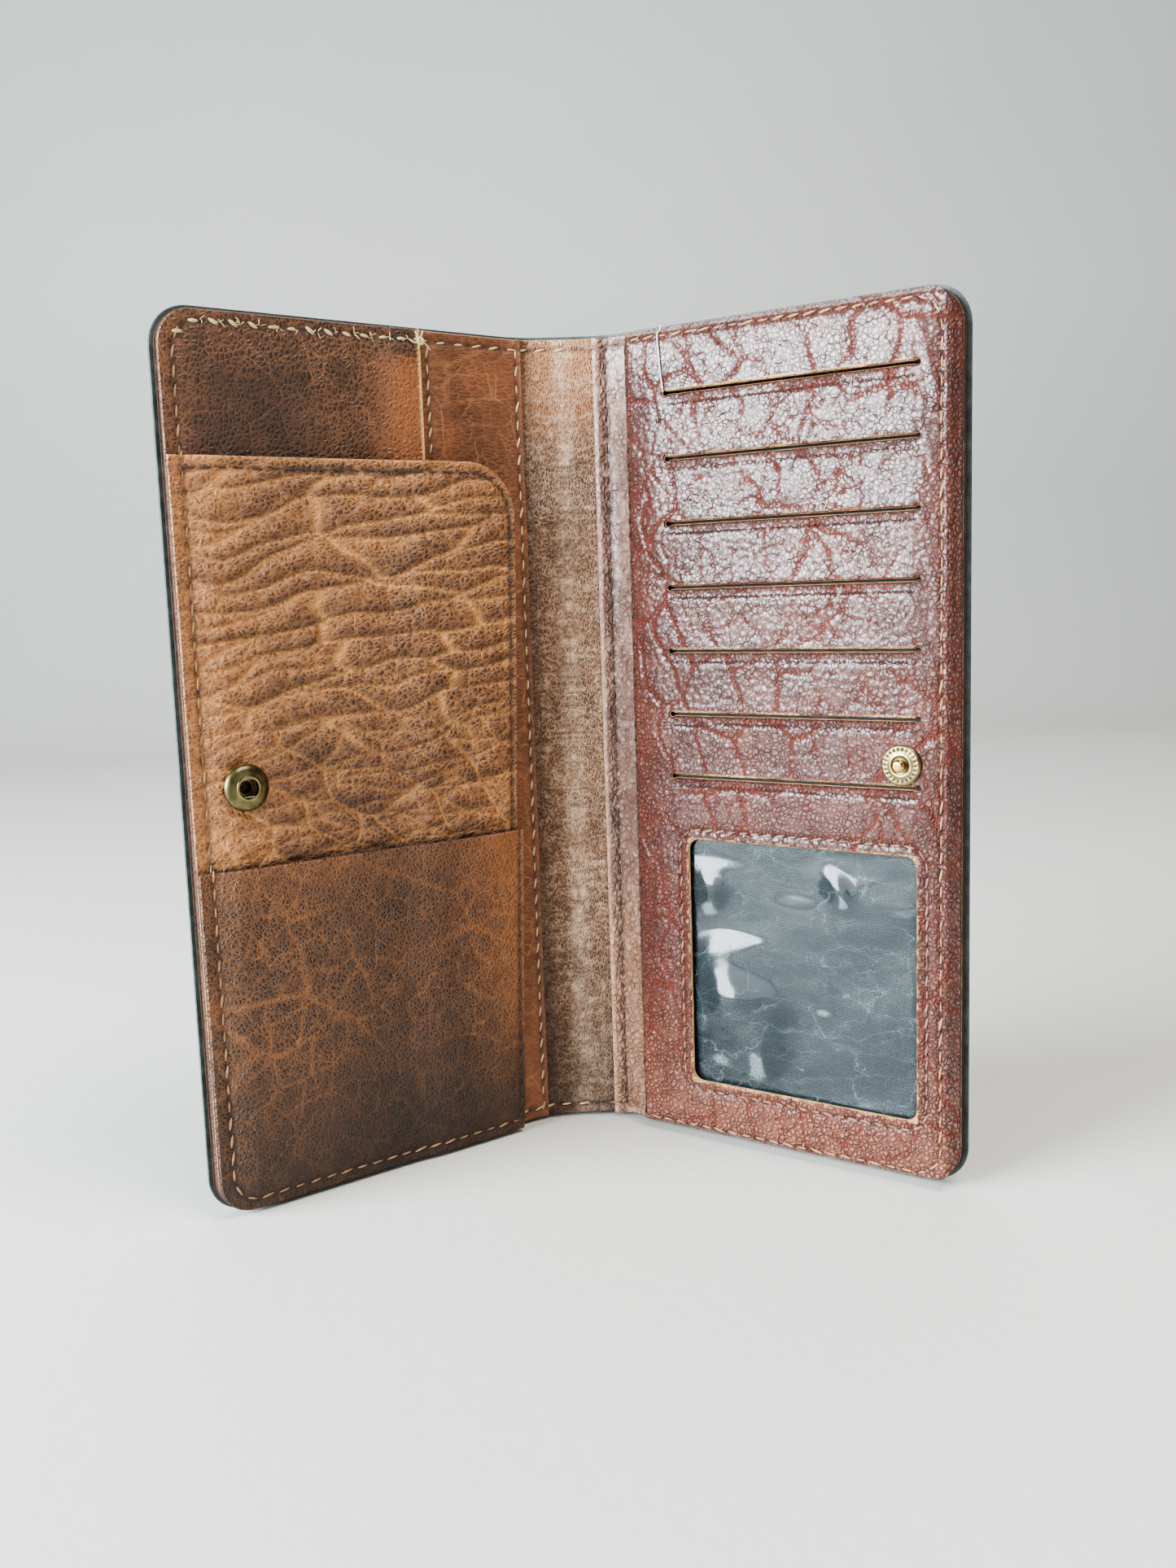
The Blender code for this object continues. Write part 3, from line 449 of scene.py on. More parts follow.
def place(side, u, n, z):
    # the two folds are rounded bends, so that the leather runs through them without a corner
    u, n, z = np.broadcast_arrays(np.asarray(u, float), np.asarray(n, float), np.asarray(z, float))
    reach, angle = wallet["reach"], wallet["angle"]
    radius = reach / tan(angle / 2)
    turn = np.clip((u + reach) / (2 * reach), 0, 1) * angle
    run = np.maximum(u - reach, 0)
    x = wallet["halfSpine"] + np.minimum(u, -reach) + (radius - n) * np.sin(turn) + run * cos(angle)
    y = wallet["back"] - radius + (radius - n) * np.cos(turn) - run * sin(angle)
    return np.stack([side * x, y, z], -1) / 1000


def smooth(t):
    t = np.clip(t, 0, 1)
    return t * t * (3 - 2 * t)


def bell(t):
    return np.exp(-t ** 2)


def hashed(ix, iy, seed):
    h = (ix.astype(np.int64) * 374761393 + iy.astype(np.int64) * 668265263 + seed * 974634777) & 0xFFFFFFFF
    h = ((h ^ (h >> 13)) * 1274126177) & 0xFFFFFFFF
    return ((h ^ (h >> 16)) & 0xFFFF) / 65535.0


def noise(x, y, seed, octaves=1):
    total, strength, most = 0.0, 1.0, 0.0
    for k in range(octaves):
        ix, iy = np.floor(x), np.floor(y)
        fx, fy = smooth(x - ix), smooth(y - iy)
        low = hashed(ix, iy, seed + k) * (1 - fx) + hashed(ix + 1, iy, seed + k) * fx
        high = hashed(ix, iy + 1, seed + k) * (1 - fx) + hashed(ix + 1, iy + 1, seed + k) * fx
        total = total + strength * ((low * (1 - fy) + high * fy) * 2 - 1)
        most, strength, x, y = most + strength, strength * 0.5, x * 2 + 13.7, y * 2 + 7.3
    return total / most


def drift(u, z, wide, high, seed):  # slow noise over a leaf
    return noise(u / wide, z / high, seed, 2)


def cellEdge(x, y, seed):
    # distance to the border between the two nearest cells, and how far up its own cell a point lies
    ix, iy = np.floor(x), np.floor(y)
    best = [np.full(x.shape, 1e9), np.full(x.shape, 1e9)]
    spots = [np.zeros(x.shape + (2,)), np.zeros(x.shape + (2,))]
    for dx in (-1, 0, 1):
        for dy in (-1, 0, 1):
            cx, cy = ix + dx, iy + dy
            px = cx + 0.5 + (hashed(cx, cy, seed) - 0.5) * 0.9
            py = cy + 0.5 + (hashed(cx, cy, seed + 57) - 0.5) * 0.9
            d = (px - x) ** 2 + (py - y) ** 2
            spot = np.stack([px, py], -1)
            first = d < best[0]
            second = ~first & (d < best[1])
            best[1] = np.where(first, best[0], np.where(second, d, best[1]))
            spots[1] = np.where(first[..., None], spots[0], np.where(second[..., None], spot, spots[1]))
            best[0] = np.where(first, d, best[0])
            spots[0] = np.where(first[..., None], spot, spots[0])
    apart = np.linalg.norm(spots[0] - spots[1], axis=-1) + 1e-9
    return (best[1] - best[0]) / (2 * apart), y - spots[0][..., 1]


def arc(u, z, radius, start, end, steps=10):  # from start to end in quarter turns
    quarters = np.linspace(start, end, steps + 1)
    return [(u + radius * cos(a * pi / 2), z + radius * sin(a * pi / 2)) for a in quarters]


def leafOutline(start, edge, foot, top, radius):
    return ([(start, foot)] + arc(edge - radius, foot + radius, radius, 3, 4)
            + arc(edge - radius, top - radius, radius, 0, 1) + [(start, top)])


def box(u0, u1, z0, z1):
    return [(u0, z0), (u1, z0), (u1, z1), (u0, z1)]


inner = tuple(wallet[key] for key in ("edge", "foot", "top", "innerCorner"))


def roundedBox(u0, u1, z0, z1, r):
    return (arc(u0 + r, z0 + r, r, 2, 3, 6) + arc(u1 - r, z0 + r, r, 3, 4, 6) + arc(u1 - r, z1 - r, r, 0, 1, 6)
            + arc(u0 + r, z1 - r, r, 1, 2, 6))


def spaced(points, step, closed=True):
    points = np.array(points, float)
    ends = np.roll(points, -1, 0) if closed else points[1:]
    out = []
    for a, b in zip(points, ends):
        count = max(1, int(np.ceil(np.linalg.norm(b - a) / step)))
        out += [a + (b - a) * i / count for i in range(count)]
    return np.array(out + ([] if closed else [points[-1]]))


def inside(polygon, points):
    hit = np.zeros(len(points), bool)
    for (x0, y0), (x1, y1) in zip(polygon, np.roll(polygon, -1, 0)):
        if y0 != y1:
            cross = ((y0 > points[:, 1]) != (y1 > points[:, 1]))
            hit ^= cross & (points[:, 0] < (x1 - x0) * (points[:, 1] - y0) / (y1 - y0) + x0)
    return hit


def treeOf(points):
    tree = KDTree(len(points))
    for i, p in enumerate(points):
        tree.insert((p[0], p[1], 0), i)
    tree.balance()
    return tree


def nearest(tree, points):
    found = [tree.find((p[0], p[1], 0)) for p in points]
    return np.array([f[2] for f in found]), np.array([f[1] for f in found])


def within(loops, points):  # inside the first loop and outside the rest
    ok = inside(loops[0], points)
    for hole in loops[1:]:
        near = (points >= hole.min(0)).all(1) & (points <= hole.max(0)).all(1)
        ok[near] &= ~inside(hole, points[near])
    return ok


def lattice(border, step, stagger):
    low, high = border.min(0), border.max(0)
    gridU, gridZ = np.meshgrid(np.arange(low[0] + step / 2, high[0], step),
                               np.arange(low[1] + step / 2, high[1], step))
    gridU = gridU + (np.arange(len(gridU)) % 2)[:, None] * step * stagger
    return np.stack([gridU.ravel(), gridZ.ravel()], 1)


def triangles(points, edges, loops, turn):  # turn is 1 for faces that look up, -1 for down
    verts, _, faces, _, _, _ = delaunay_2d_cdt([Vector(p) for p in points], edges, [], 0, 1e-6)
    verts, faces = np.array([tuple(v) for v in verts]), np.array([f for f in faces if len(f) == 3])
    faces = faces[within(loops, verts[faces].mean(1))]
    a, b, c = verts[faces[:, 0]], verts[faces[:, 1]], verts[faces[:, 2]]
    wrong = ((b - a)[:, 0] * (c - a)[:, 1] - (b - a)[:, 1] * (c - a)[:, 0]) * turn < 0
    faces[wrong] = faces[wrong][:, ::-1]
    return verts, faces


def cutShape(outline, holes, spacing, bands, join=None):
    # flat triangles of one cut piece, with rows of points along every cut
    loops = [spaced(outline, spacing)] + [spaced(h, spacing * 0.8) for h in holes]
    border = np.concatenate(loops)
    dense = np.concatenate([spaced(loop, 0.2) for loop in loops])
    tree = treeOf(dense)
    edges, start = [], 0
    for loop in loops:
        edges += [(start + i, start + (i + 1) % len(loop)) for i in range(len(loop))]
        start += len(loop)
    extra = []
    for k, loop in enumerate(loops):
        along = np.roll(loop, -1, 0) - np.roll(loop, 1, 0)
        inward = np.stack([-along[:, 1], along[:, 0]], 1) / np.linalg.norm(along, axis=1)[:, None]
        for band in bands:
            extra.append(loop + inward * (band if k == 0 else -band))
    keep = [border]
    if extra:
        extra = np.concatenate(extra)
        keep.append(extra[nearest(tree, extra)[0] > bands[0] * 0.85])
    grid = lattice(border, spacing, 0.5)
    keep.append(grid[nearest(tree, grid)[0] > (bands[-1] if bands else 0) + spacing * 0.4])
    points = np.concatenate(keep)
    ok = within(loops, points)
    ok[:len(border)] = True
    verts, faces = triangles(points[ok], edges, loops, 1)
    if join is not None:  # this side runs on into its neighbour, so it isn't rounded off
        tree = treeOf(dense[np.abs(dense[:, 0] - join) > 0.01])
    return verts, faces, nearest(tree, verts)[0]


def rims(faces):
    # directed edges that only one triangle uses
    seen = {}
    for f in faces:
        for a, b in ((f[0], f[1]), (f[1], f[2]), (f[2], f[0])):
            seen[(int(a), int(b))] = 1
    return [e for e in seen if (e[1], e[0]) not in seen]


def cutPiece(name, side, outline, back, thick, surface, finish, edge, holes=(), spacing=0.7, roundness=0.28,
             bands=(0.25, 0.6), coarse=3.2, outward=False, backSurface=None, join=None, holeEdge=None):
    # one piece of hide or cloth: a fine shown face, a coarser hidden one and the cut edge between them.
    # back(u, z) is where its hidden face lies; surface(u, z, d) gives relief and tints of the shown one
    fine, fineFaces, fineEdge = cutShape(outline, holes, spacing, bands, join)
    rim = rims(fineFaces)
    rimIds = sorted({i for e in rim for i in e})
    border = fine[rimIds]
    # the hidden face uses the same rim points
    nextOf, left, loops = dict(rim), set(rimIds), []
    while left:
        at, loop = next(iter(left)), []
        while at in left:
            left.discard(at)
            loop.append(at)
            at = nextOf[at]
        loops.append(loop)
    polygons = [fine[loop] for loop in loops]
    areas = [abs(np.sum(p[:, 0] * np.roll(p[:, 1], -1) - np.roll(p[:, 0], -1) * p[:, 1])) for p in polygons]
    outer = int(np.argmax(areas))
    index = {i: k for k, i in enumerate(rimIds)}
    grid = lattice(border, coarse, 0)
    grid = grid[nearest(treeOf(border), grid)[0] > coarse * 0.5]
    verts, faces = triangles(np.concatenate([border, grid]), [(index[a], index[b]) for a, b in rim],
                             [polygons[outer]] + polygons[:outer] + polygons[outer + 1:], -1)
    key = {tuple(np.round(p, 5)): k for k, p in enumerate(border)}
    backOf = {key[p]: k for k, p in enumerate(tuple(np.round(v, 5)) for v in verts) if p in key}

    def hidden(points):
        level = back(points[:, 0], points[:, 1])
        return level if backSurface is None else level + backSurface(points[:, 0], points[:, 1])

    relief, tints = surface(fine[:, 0], fine[:, 1], fineEdge)
    drop = np.where(fineEdge < roundness, roundness - np.sqrt(np.maximum(
        roundness ** 2 - (roundness - fineEdge) ** 2, 0)), 0)
    sign = -1 if outward else 1
    shownN = back(fine[:, 0], fine[:, 1]) + sign * (thick + relief - drop)
    # half way round the cut edge, a little proud
    push = np.zeros((len(rimIds), 2))
    for a, b in rim:
        along = fine[b] - fine[a]
        out = np.array([along[1], -along[0]]) / (np.linalg.norm(along) + 1e-12)
        push[index[a]] += out
        push[index[b]] += out
    push /= np.linalg.norm(push, axis=1)[:, None] + 1e-12
    rimPoints = border + push * min(0.12, thick * 0.15)
    rimBack = hidden(border)
    rimN = rimBack + (shownN[rimIds] - rimBack) * 0.5
    count = len(fine)
    middleAt = count + len(verts)
    flat = np.concatenate([fine, verts, rimPoints])
    depth = np.concatenate([shownN, hidden(verts), rimN])
    spot = place(side, flat[:, 0], depth, flat[:, 1])
    walls = []
    for a, b in rim:
        ka, kb = index[a], index[b]
        walls.append((b, a, middleAt + ka, middleAt + kb))
        walls.append((middleAt + kb, middleAt + ka, count + backOf[ka], count + backOf[kb]))
    allFaces = [tuple(f) for f in fineFaces] + [tuple(f + count) for f in faces] + walls
    if (side < 0) != outward:
        allFaces = [f[::-1] for f in allFaces]
    slots = [0] * len(fineFaces) + [1] * len(faces)
    outerRim = set(loops[outer])
    for a, b in rim:
        slots += [1 if holeEdge is None or a in outerRim else 2] * 2
    attributes = {"place": np.stack([flat[:, 0], flat[:, 1], depth], 1)}
    for tint in ("fold", "tone", "groove", "raw"):
        value = tints.get(tint, np.zeros(count))
        attributes[tint] = np.concatenate([value, np.zeros(len(verts)), value[rimIds]])
    names = [finish, edge] + ([holeEdge] if holeEdge else [])
    print(name, len(allFaces), "faces")
    return addMesh(name, spot, allFaces, names, slots, attributes)


def seamField(seams, pitch=3.6):
    # distance to the nearest seam and how far along it, for the puckers of its stitches
    rows, runs = [], []
    for points, closed in seams:
        line = spaced(points, 0.2, closed)
        rows.append(line)
        runs.append(np.concatenate([[0], np.cumsum(np.linalg.norm(np.diff(line, axis=0), axis=1))]))
    tree, run = treeOf(np.concatenate(rows)), np.concatenate(runs)

    def field(u, z):
        away, at = nearest(tree, np.stack([u, z], 1))
        pull = bell(away / 0.55)
        pucker = 0.5 + 0.5 * np.cos(2 * pi * run[at] / pitch)
        wide = bell(away / 1.5)
        return pull * (0.16 + 0.16 * pucker) + wide * 0.08, pull * (0.45 + 0.45 * pucker)
    return field


# ---- seams, as lines over a leaf
seams = dict(inset=3.1, sideInset=3.9, fold=1.6, strip=26.0, mouth=2.4, pocketSide=1.7, hem=1.6, window=2.2)
pocket = dict(top=160.3, sideTop=8.8, sideFoot=11.2, gape=4.6, crown=1.0, lowerTop=75.3, lap=1.0)
card = dict(start=8.0, slitStart=20.5, slitEnd=79.8, slitTop=174.2, slitPitch=14.45, slits=7,
            hole=0.7, windowStart=24.1, windowEnd=79.6, windowFoot=14.7, windowTop=72.9, windowCorner=2.5)
snap = dict(u=76.5, z=92.4)


def edgeSeam(start):
    edge, low = wallet["leaf"] - seams["sideInset"], seams["inset"]
    high, r = wallet["high"] - seams["inset"], 6.0
    return ([(start, low)] + arc(edge - r, low + r, r, 3, 4) + arc(edge - r, high - r, r, 0, 1) + [(start, high)])


def upright(u):
    return [(u, 3), (u, 187)], False


def mouthSeam(start, *end):  # along the phone pocket's mouth and down its side
    high, side = pocket["top"] - seams["mouth"], pocket["sideTop"] + seams["pocketSide"]
    return [(start, high), (side + 10.3, high)] + arc(side + 9.9, high - 9.9, 9.9, 1, 2, 8) + [end]


windowSeam = roundedBox(card["windowStart"] - seams["window"], card["windowEnd"] + seams["window"],
                        card["windowFoot"] - seams["window"], card["windowTop"] + seams["window"], 4.5)
hemAt = card["start"] + seams["hem"] + 0.4


def pocketSide(z):
    return pocket["sideFoot"] + (pocket["sideTop"] - pocket["sideFoot"]) * z / pocket["top"]


# ---- how far in each layer's hidden face lies
def stripStep(u):
    return 0.9 * (1 - smooth((u - 31.8) / 10))


def phoneBack(u, z):
    crown = pocket["crown"] * smooth((wallet["edge"] - u - 2) / 7) * smooth((z - 2) / 7)
    gape = pocket["gape"] * smooth((wallet["edge"] - u) / wallet["edge"]) * smooth(z / pocket["top"])
    return 2.3 + stripStep(u) + crown + gape


def cardRim(u, z):  # how far inside the card panel's edge
    across = np.minimum(u - card["start"], wallet["edge"] - u)
    return np.minimum(across, np.minimum(z - wallet["foot"], wallet["top"] - z))


def cardBack(u, z):
    return 2.2 + (5.613 - 2.2) * smooth((cardRim(u, z) - 1.4) / 9.0)


def cardRise(u, z):  # the stack under the panel keeps it nearly level right up to its seams
    near = cardRim(u, z)
    return 2.85 * smooth(near / 2.1) * (1 - smooth((near - 1.6) / 8.8))


# ---- relief of each hide
def tinted(**tints):
    return {key: np.clip(value, 0, 1) for key, value in tints.items()}


def wrinkles(u, z, wide, high, seed, lean=0.0, wander=3.0):
    x = (u + wander * drift(u, z, 14, 9, seed)) / wide
    y = (z + lean * u + wander * 0.8 * drift(u, z, 19, 15, seed + 5)) / high
    d, rise = cellEdge(x, y, seed)
    return d * min(wide, high), rise


phoneSeams = seamField([(mouthSeam(wallet["edge"], pocket["sideFoot"] + seams["pocketSide"] - 0.2, 3.0), False),
                        (edgeSeam(12), False)])


def bisonSurface(u, z, d):
    long1, rise1 = wrinkles(u, z, 27, 4.9, 3, 0.12, 4.0)
    long2, rise2 = wrinkles(u, z, 14, 7.5, 11, -0.35, 4.0)
    small, rise3 = wrinkles(u, z, 6.0, 3.6, 23, 0.0, 1.5)
    lower = smooth((122 - z) / 34)
    first = np.exp(-(long1 / 0.22) ** 1.5) * (1 - 0.45 * lower)
    second = np.exp(-(long2 / 0.24) ** 1.5) * (0.12 + 0.8 * lower)
    third = 0.8 * np.exp(-(small / 0.22) ** 1.5) * np.clip(0.35 + 0.5 * drift(u, z, 9, 9, 31), 0, 1)
    dome = 0.72 * (1 - np.exp(-long1 / 0.9)) * (1 - 0.4 * lower) + 0.66 * (1 - np.exp(-long2 / 1.1)) * lower
    dome = dome + 0.22 * (1 - np.exp(-small / 0.6)) + 0.10 * drift(u, z, 2.0, 1.4, 41)
    dip, dark = phoneSeams(u, z)
    rim = smooth((d - 0.6) / 3.0)
    # painted light: up marks the upper side of each wrinkle band, and of each small cell, which tone makes lighter
    # as if lit from above
    up = smooth(0.5 + 1.1 * rise1) * (1 - 0.6 * lower) + smooth(0.5 + 0.9 * rise2) * 0.6 * lower
    tone = 0.55 * up * smooth(0.5 + 0.8 * drift(u, z, 26, 20, 51)) + 0.45 * smooth((u - 66) / 18)
    tone = tone + 0.15 * smooth(0.5 + rise3)
    mouth = smooth((z - pocket["top"] + 0.8) / 0.4) * 0.5
    fold = np.maximum(np.maximum(first, second), third) * (0.3 + 0.7 * rim) + mouth
    # painted shade on the lower side of each band and in a shadow line just above the lower pocket's mouth; the code
    # also darkens a patch low in the middle
    shade = 0.55 * smooth(0.85 - up) * smooth(0.7 + 0.6 * drift(u, z, 12, 9, 53)) * rim
    shade = shade + 0.30 * smooth(1 - ((u - 46) / 30) ** 2) * smooth((112 - z) / 20)
    shade = shade + 0.75 * bell((z - pocket["lowerTop"] - 0.3) / 0.6)
    mark = np.exp(-((u - 15.5) ** 2 + (z - 148) ** 2) / 0.7)
    return (dome - 0.6) * rim - dip, tinted(fold=fold, tone=tone, groove=dark + shade + mark)


lowerSeams = seamField([([(pocket["sideFoot"] + 0.2, 3.0), (pocket["sideFoot"] - 0.9, pocket["lowerTop"])], False),
                        (edgeSeam(12), False)])


def crackleSurface(u, z, d):
    web, _ = wrinkles(u, z, 8.5, 7.0, 61, 0.4, 3.0)
    long1, _ = wrinkles(u, z, 30, 13, 67, -0.45, 5.0)
    lines = bell(web / 0.35) * smooth(0.45 + drift(u, z, 12, 12, 71))
    streak = bell(long1 / 0.5) * smooth(0.4 + drift(u, z, 20, 20, 73))
    dip, dark = lowerSeams(u, z)
    wave = 0.30 * drift(u, z, 17, 12, 75) + 0.07 * drift(u, z, 2.6, 2.2, 77)
    rim = smooth((d - 0.5) / 3.0)
    tone = 0.75 * smooth((30 - u) / 22) * smooth((z - 8) / 30) + 0.4 * smooth((z - 58) / 16)
    # painted shade towards the foot; the code also darkens a band across the middle
    dark = dark + 0.8 * smooth((44 - z) / 44) + 0.34 * smooth(1 - ((u - 42) / 26) ** 2)
    return (wave - 0.07 * lines - 0.1 * streak) * rim - dip, tinted(fold=lines + streak, tone=tone, groove=dark)


cashSeams = seamField([(edgeSeam(12), False)], 4.3)


def cashSurface(u, z, d):
    web, _ = wrinkles(u, z, 11, 9, 81, 0.3, 4.0)
    lines = bell(web / 0.3) * smooth(0.4 + drift(u, z, 10, 10, 83))
    dip, dark = cashSeams(u, z)
    wave = 0.16 * drift(u, z, 15, 14, 85) + 0.03 * drift(u, z, 2.0, 2.0, 87)
    tone = 0.9 * smooth((48 - u) / 20) * smooth((186 - z) / 6) + 0.25 * smooth((u - 78) / 8)
    # painted shade: a darker patch high on the cash panel, towards its outer edge
    shade = 0.62 * smooth(1 - ((u - 68) / 18) ** 2) * smooth(1 - ((z - 170) / 14) ** 2)
    tints = tinted(fold=lines, tone=tone, groove=dark + shade, raw=smooth((29.15 - u) / 0.25))
    return wave * smooth(d / 2) - 0.04 * lines - dip, tints


stripSeams = seamField([(edgeSeam(-14), False), upright(seams["fold"]), upright(seams["strip"])], 4.0)


def stripSurface(u, z, d):
    scratch = smooth(noise(u / 16 + z * 0.02, z / 0.7, 91, 2) * 2 - 0.5) * smooth(0.3 + drift(u, z, 8, 9, 93))
    web, _ = wrinkles(u, z, 22, 5.5, 95, 0.15, 3.0)
    lines = bell(web / 0.3) * smooth(0.4 + drift(u, z, 8, 8, 97))
    dip, dark = stripSeams(u, z)
    wave = 0.10 * drift(u, z, 8, 11, 99)
    tone = 0.5 * smooth(0.5 + drift(u, z, 12, 14, 101))
    return wave - dip, tinted(fold=0.6 * scratch + 0.7 * lines, tone=tone, groove=dark)


spineSeams = seamField([([(-14, 3.1), (20, 3.1)], False), ([(-14, 186.9), (20, 186.9)], False)], 4.0)


def spineSurface(side):
    def surface(u, z, d):
        across = side * (u + wallet["halfSpine"])
        ripple = noise(across / 3.2, z / 0.8, 111, 2) * 0.7 + noise(across / 0.75, z / 3.0, 113, 2) * 0.45
        pleat = noise(across / 2.6, z / 34, 115, 2) * smooth((55 - z) / 50)
        roll = noise(across / 5.0, z / 45, 117, 1)
        dip, dark = spineSeams(u, z)
        # painted highlight: a lighter streak down the middle of the spine, carried in fold
        streak = smooth(1 - (across / 3.4) ** 2) * (0.45 + 0.35 * noise(across / 2, z / 5, 119, 2))
        tone = 0.8 * smooth((z - 152) / 34)
        lines = smooth(ripple * 1.6) * 0.5 + streak * (0.45 + 0.6 * smooth(0.5 + ripple)) + smooth(pleat) * 0.4
        # painted shade: darker on the left half away from the middle, beside the pockets, and towards the foot
        shade = dark + 0.65 * smooth((-across - 5) / 5) + 0.7 * smooth((70 - z) / 80)
        relief = np.maximum(0.22 * ripple + 0.30 * pleat + 0.20 * roll - dip, -0.36)
        return relief, tinted(fold=lines, tone=tone, groove=shade)
    return surface


cardSeams = seamField([(edgeSeam(9.0), False), upright(hemAt), (windowSeam, True)], 3.4)


def cardSurface(u, z, d):
    big, number = wrinkles(u, z, 9.5, 14, 131, 0.35, 4.0)
    mid, _ = wrinkles(u, z, 5.2, 6.5, 133, -0.3, 2.5)
    grain, _ = wrinkles(u, z, 2.0, 1.8, 135, 0.0, 0.8)
    rightFolds = smooth((u - 76) / 8) * noise((u + 0.25 * z) / 2.2, z / 16, 137, 2)
    furrow = bell(big / 0.42) * smooth(0.75 + drift(u, z, 16, 16, 139))
    furrow2 = bell(mid / 0.26) * smooth(0.3 + drift(u, z, 9, 9, 141))
    relief = -0.24 * furrow - 0.15 * furrow2 + 0.15 * (1 - np.exp(-grain / 0.35)) + 0.26 * rightFolds
    relief = relief + 0.16 * drift(u, z, 11, 9, 143) - 0.05
    groove, raw = np.zeros_like(u), np.zeros_like(u)
    for k in range(card["slits"]):
        slit = card["slitTop"] - card["slitPitch"] * k
        span = smooth((u - card["slitStart"] + 0.6) / 1.6) * smooth((card["slitEnd"] + 0.6 - u) / 1.6)
        above, below = z - slit, slit - z
        relief = relief + span * 0.26 * np.exp(-np.abs(above - 0.4) / 1.1) * (above > 0)
        relief = relief - span * 0.24 * smooth((below + 0.2) / 0.4) * smooth((2.5 - below) / 0.5)
        crease = bell((below - 2.35 + 0.15 * noise(u / 9, slit, 151)) / 0.28) * span
        relief = relief - 0.16 * crease
        pale = (0.95, 0.35, 0.15, 0.25, 0.45, 0.8, 0.85)[k] * smooth(0.6 + 1.2 * noise(u / 7, slit, 157, 2))
        raw = np.maximum(raw, pale * span * (above > 0) * smooth((1.0 - above) / 0.3))
        # painted shade: darker in the crease below each slit and just under its lip
        groove = groove + 0.95 * crease + span * 0.7 * bell((below - 0.5) / 0.4)
    for holeU, holeZ in ((19.0, 168.4), (18.6, 134.0), (83.5, 165.0)):  # old needle and peg marks
        groove = groove + np.exp(-(((u - holeU) ** 2 + (z - holeZ) ** 2) / 0.45))
    outside = np.maximum(np.maximum(card["windowStart"] - u, u - card["windowEnd"]),
                         np.maximum(card["windowFoot"] - z, z - card["windowTop"]))
    raw = np.maximum(raw, 0.7 * smooth((0.30 + 0.30 * noise(u / 1.5, z / 1.5, 159) - outside) / 0.2))
    dip, dark = cardSeams(u, z)
    roll = 0.20 * smooth(1 - np.abs(u - card["start"] - 0.9) / 1.1)
    rim = smooth(d / 1.6)
    seat = smooth((np.hypot(u - snap["u"], z - snap["z"]) - 4.6) / 2.5)
    # tone: painted light towards the foot, lighter by slow noise, and lighter along the hem
    tone = 0.5 * smooth((60 - z) / 60) + 0.25 * smooth(drift(u, z, 20, 20, 153)) + 0.5 * smooth((12 - u) / 3)
    tints = tinted(fold=furrow * 0.9 + furrow2 * 0.8, tone=tone, groove=groove + dark * 0.8, raw=raw)
    return cardRise(u, z) + relief * (0.35 + 0.65 * rim) * (0.25 + 0.75 * seat) + roll - dip, tints


slipSeams = seamField([(edgeSeam(-14), False), upright(1.4)], 3.4)


def slipSurface(u, z, d):
    mid, _ = wrinkles(u, z, 5.2, 6.5, 163, -0.3, 2.5)
    furrow = bell(mid / 0.4) * smooth(0.3 + drift(u, z, 9, 9, 165))
    dip, dark = slipSeams(u, z)
    roll = 0.35 * smooth(1 - np.abs(u + 0.5) / 1.5)
    wave = 0.14 * drift(u, z, 5, 17, 167)
    tone = 0.55 * smooth((-0.6 - u) / 0.8) + 0.5 * smooth((90 - z) / 60)
    fold = furrow * 0.8 + 0.9 * smooth((-1.1 - u) / 0.5)
    return wave - 0.12 * furrow + roll - dip * 1.2, tinted(fold=fold, tone=tone, groove=dark * 1.1)


def linedSurface(seed):
    def surface(u, z, d):
        tone = 0.4 * smooth(drift(u, z, 20, 20, seed + 3))
        return 0.06 * drift(u, z, 9, 9, seed), tinted(tone=tone)
    return surface


def coverSurface(seamLines, seed):
    field = seamField(seamLines, 4.0)

    def surface(u, z, d):
        mid, _ = wrinkles(u, z, 8, 9, seed, 0.2, 3.0)
        furrow = bell(mid / 0.5) * smooth(0.4 + drift(u, z, 12, 12, seed + 2))
        dip, dark = field(u, z)
        wave = 0.12 * drift(u, z, 14, 16, seed + 4)
        tints = tinted(fold=furrow, tone=smooth((1.6 - d) / 1.4) * 0.6, groove=dark * 0.5)
        return (wave - 0.10 * furrow) * smooth(d / 1.5) - dip * 0.8, tints
    return surface


def constant(value):
    return lambda u, z: np.full(np.shape(u), float(value))


# ---- cover and linings
middle = -wallet["halfSpine"]
bendReach = 6.2


def bendOver(piece, side):
    start, end = (tuple(place(side, u, 0, 0)) for u in (-bendReach, bendReach))
    "left_leaf" if side < 0 else "right_leaf"
    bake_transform(piece)


def settle(piece, slot, *nodes, rides=None, bends=0):
    # it rides on one body, or its transform is baked in where it lies over the fold of one side; it hides these
    # nodes
    if rides:
        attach(piece, rides)
    if bends:
        bendOver(piece, bends)
    if nodes:
        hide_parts(*nodes)


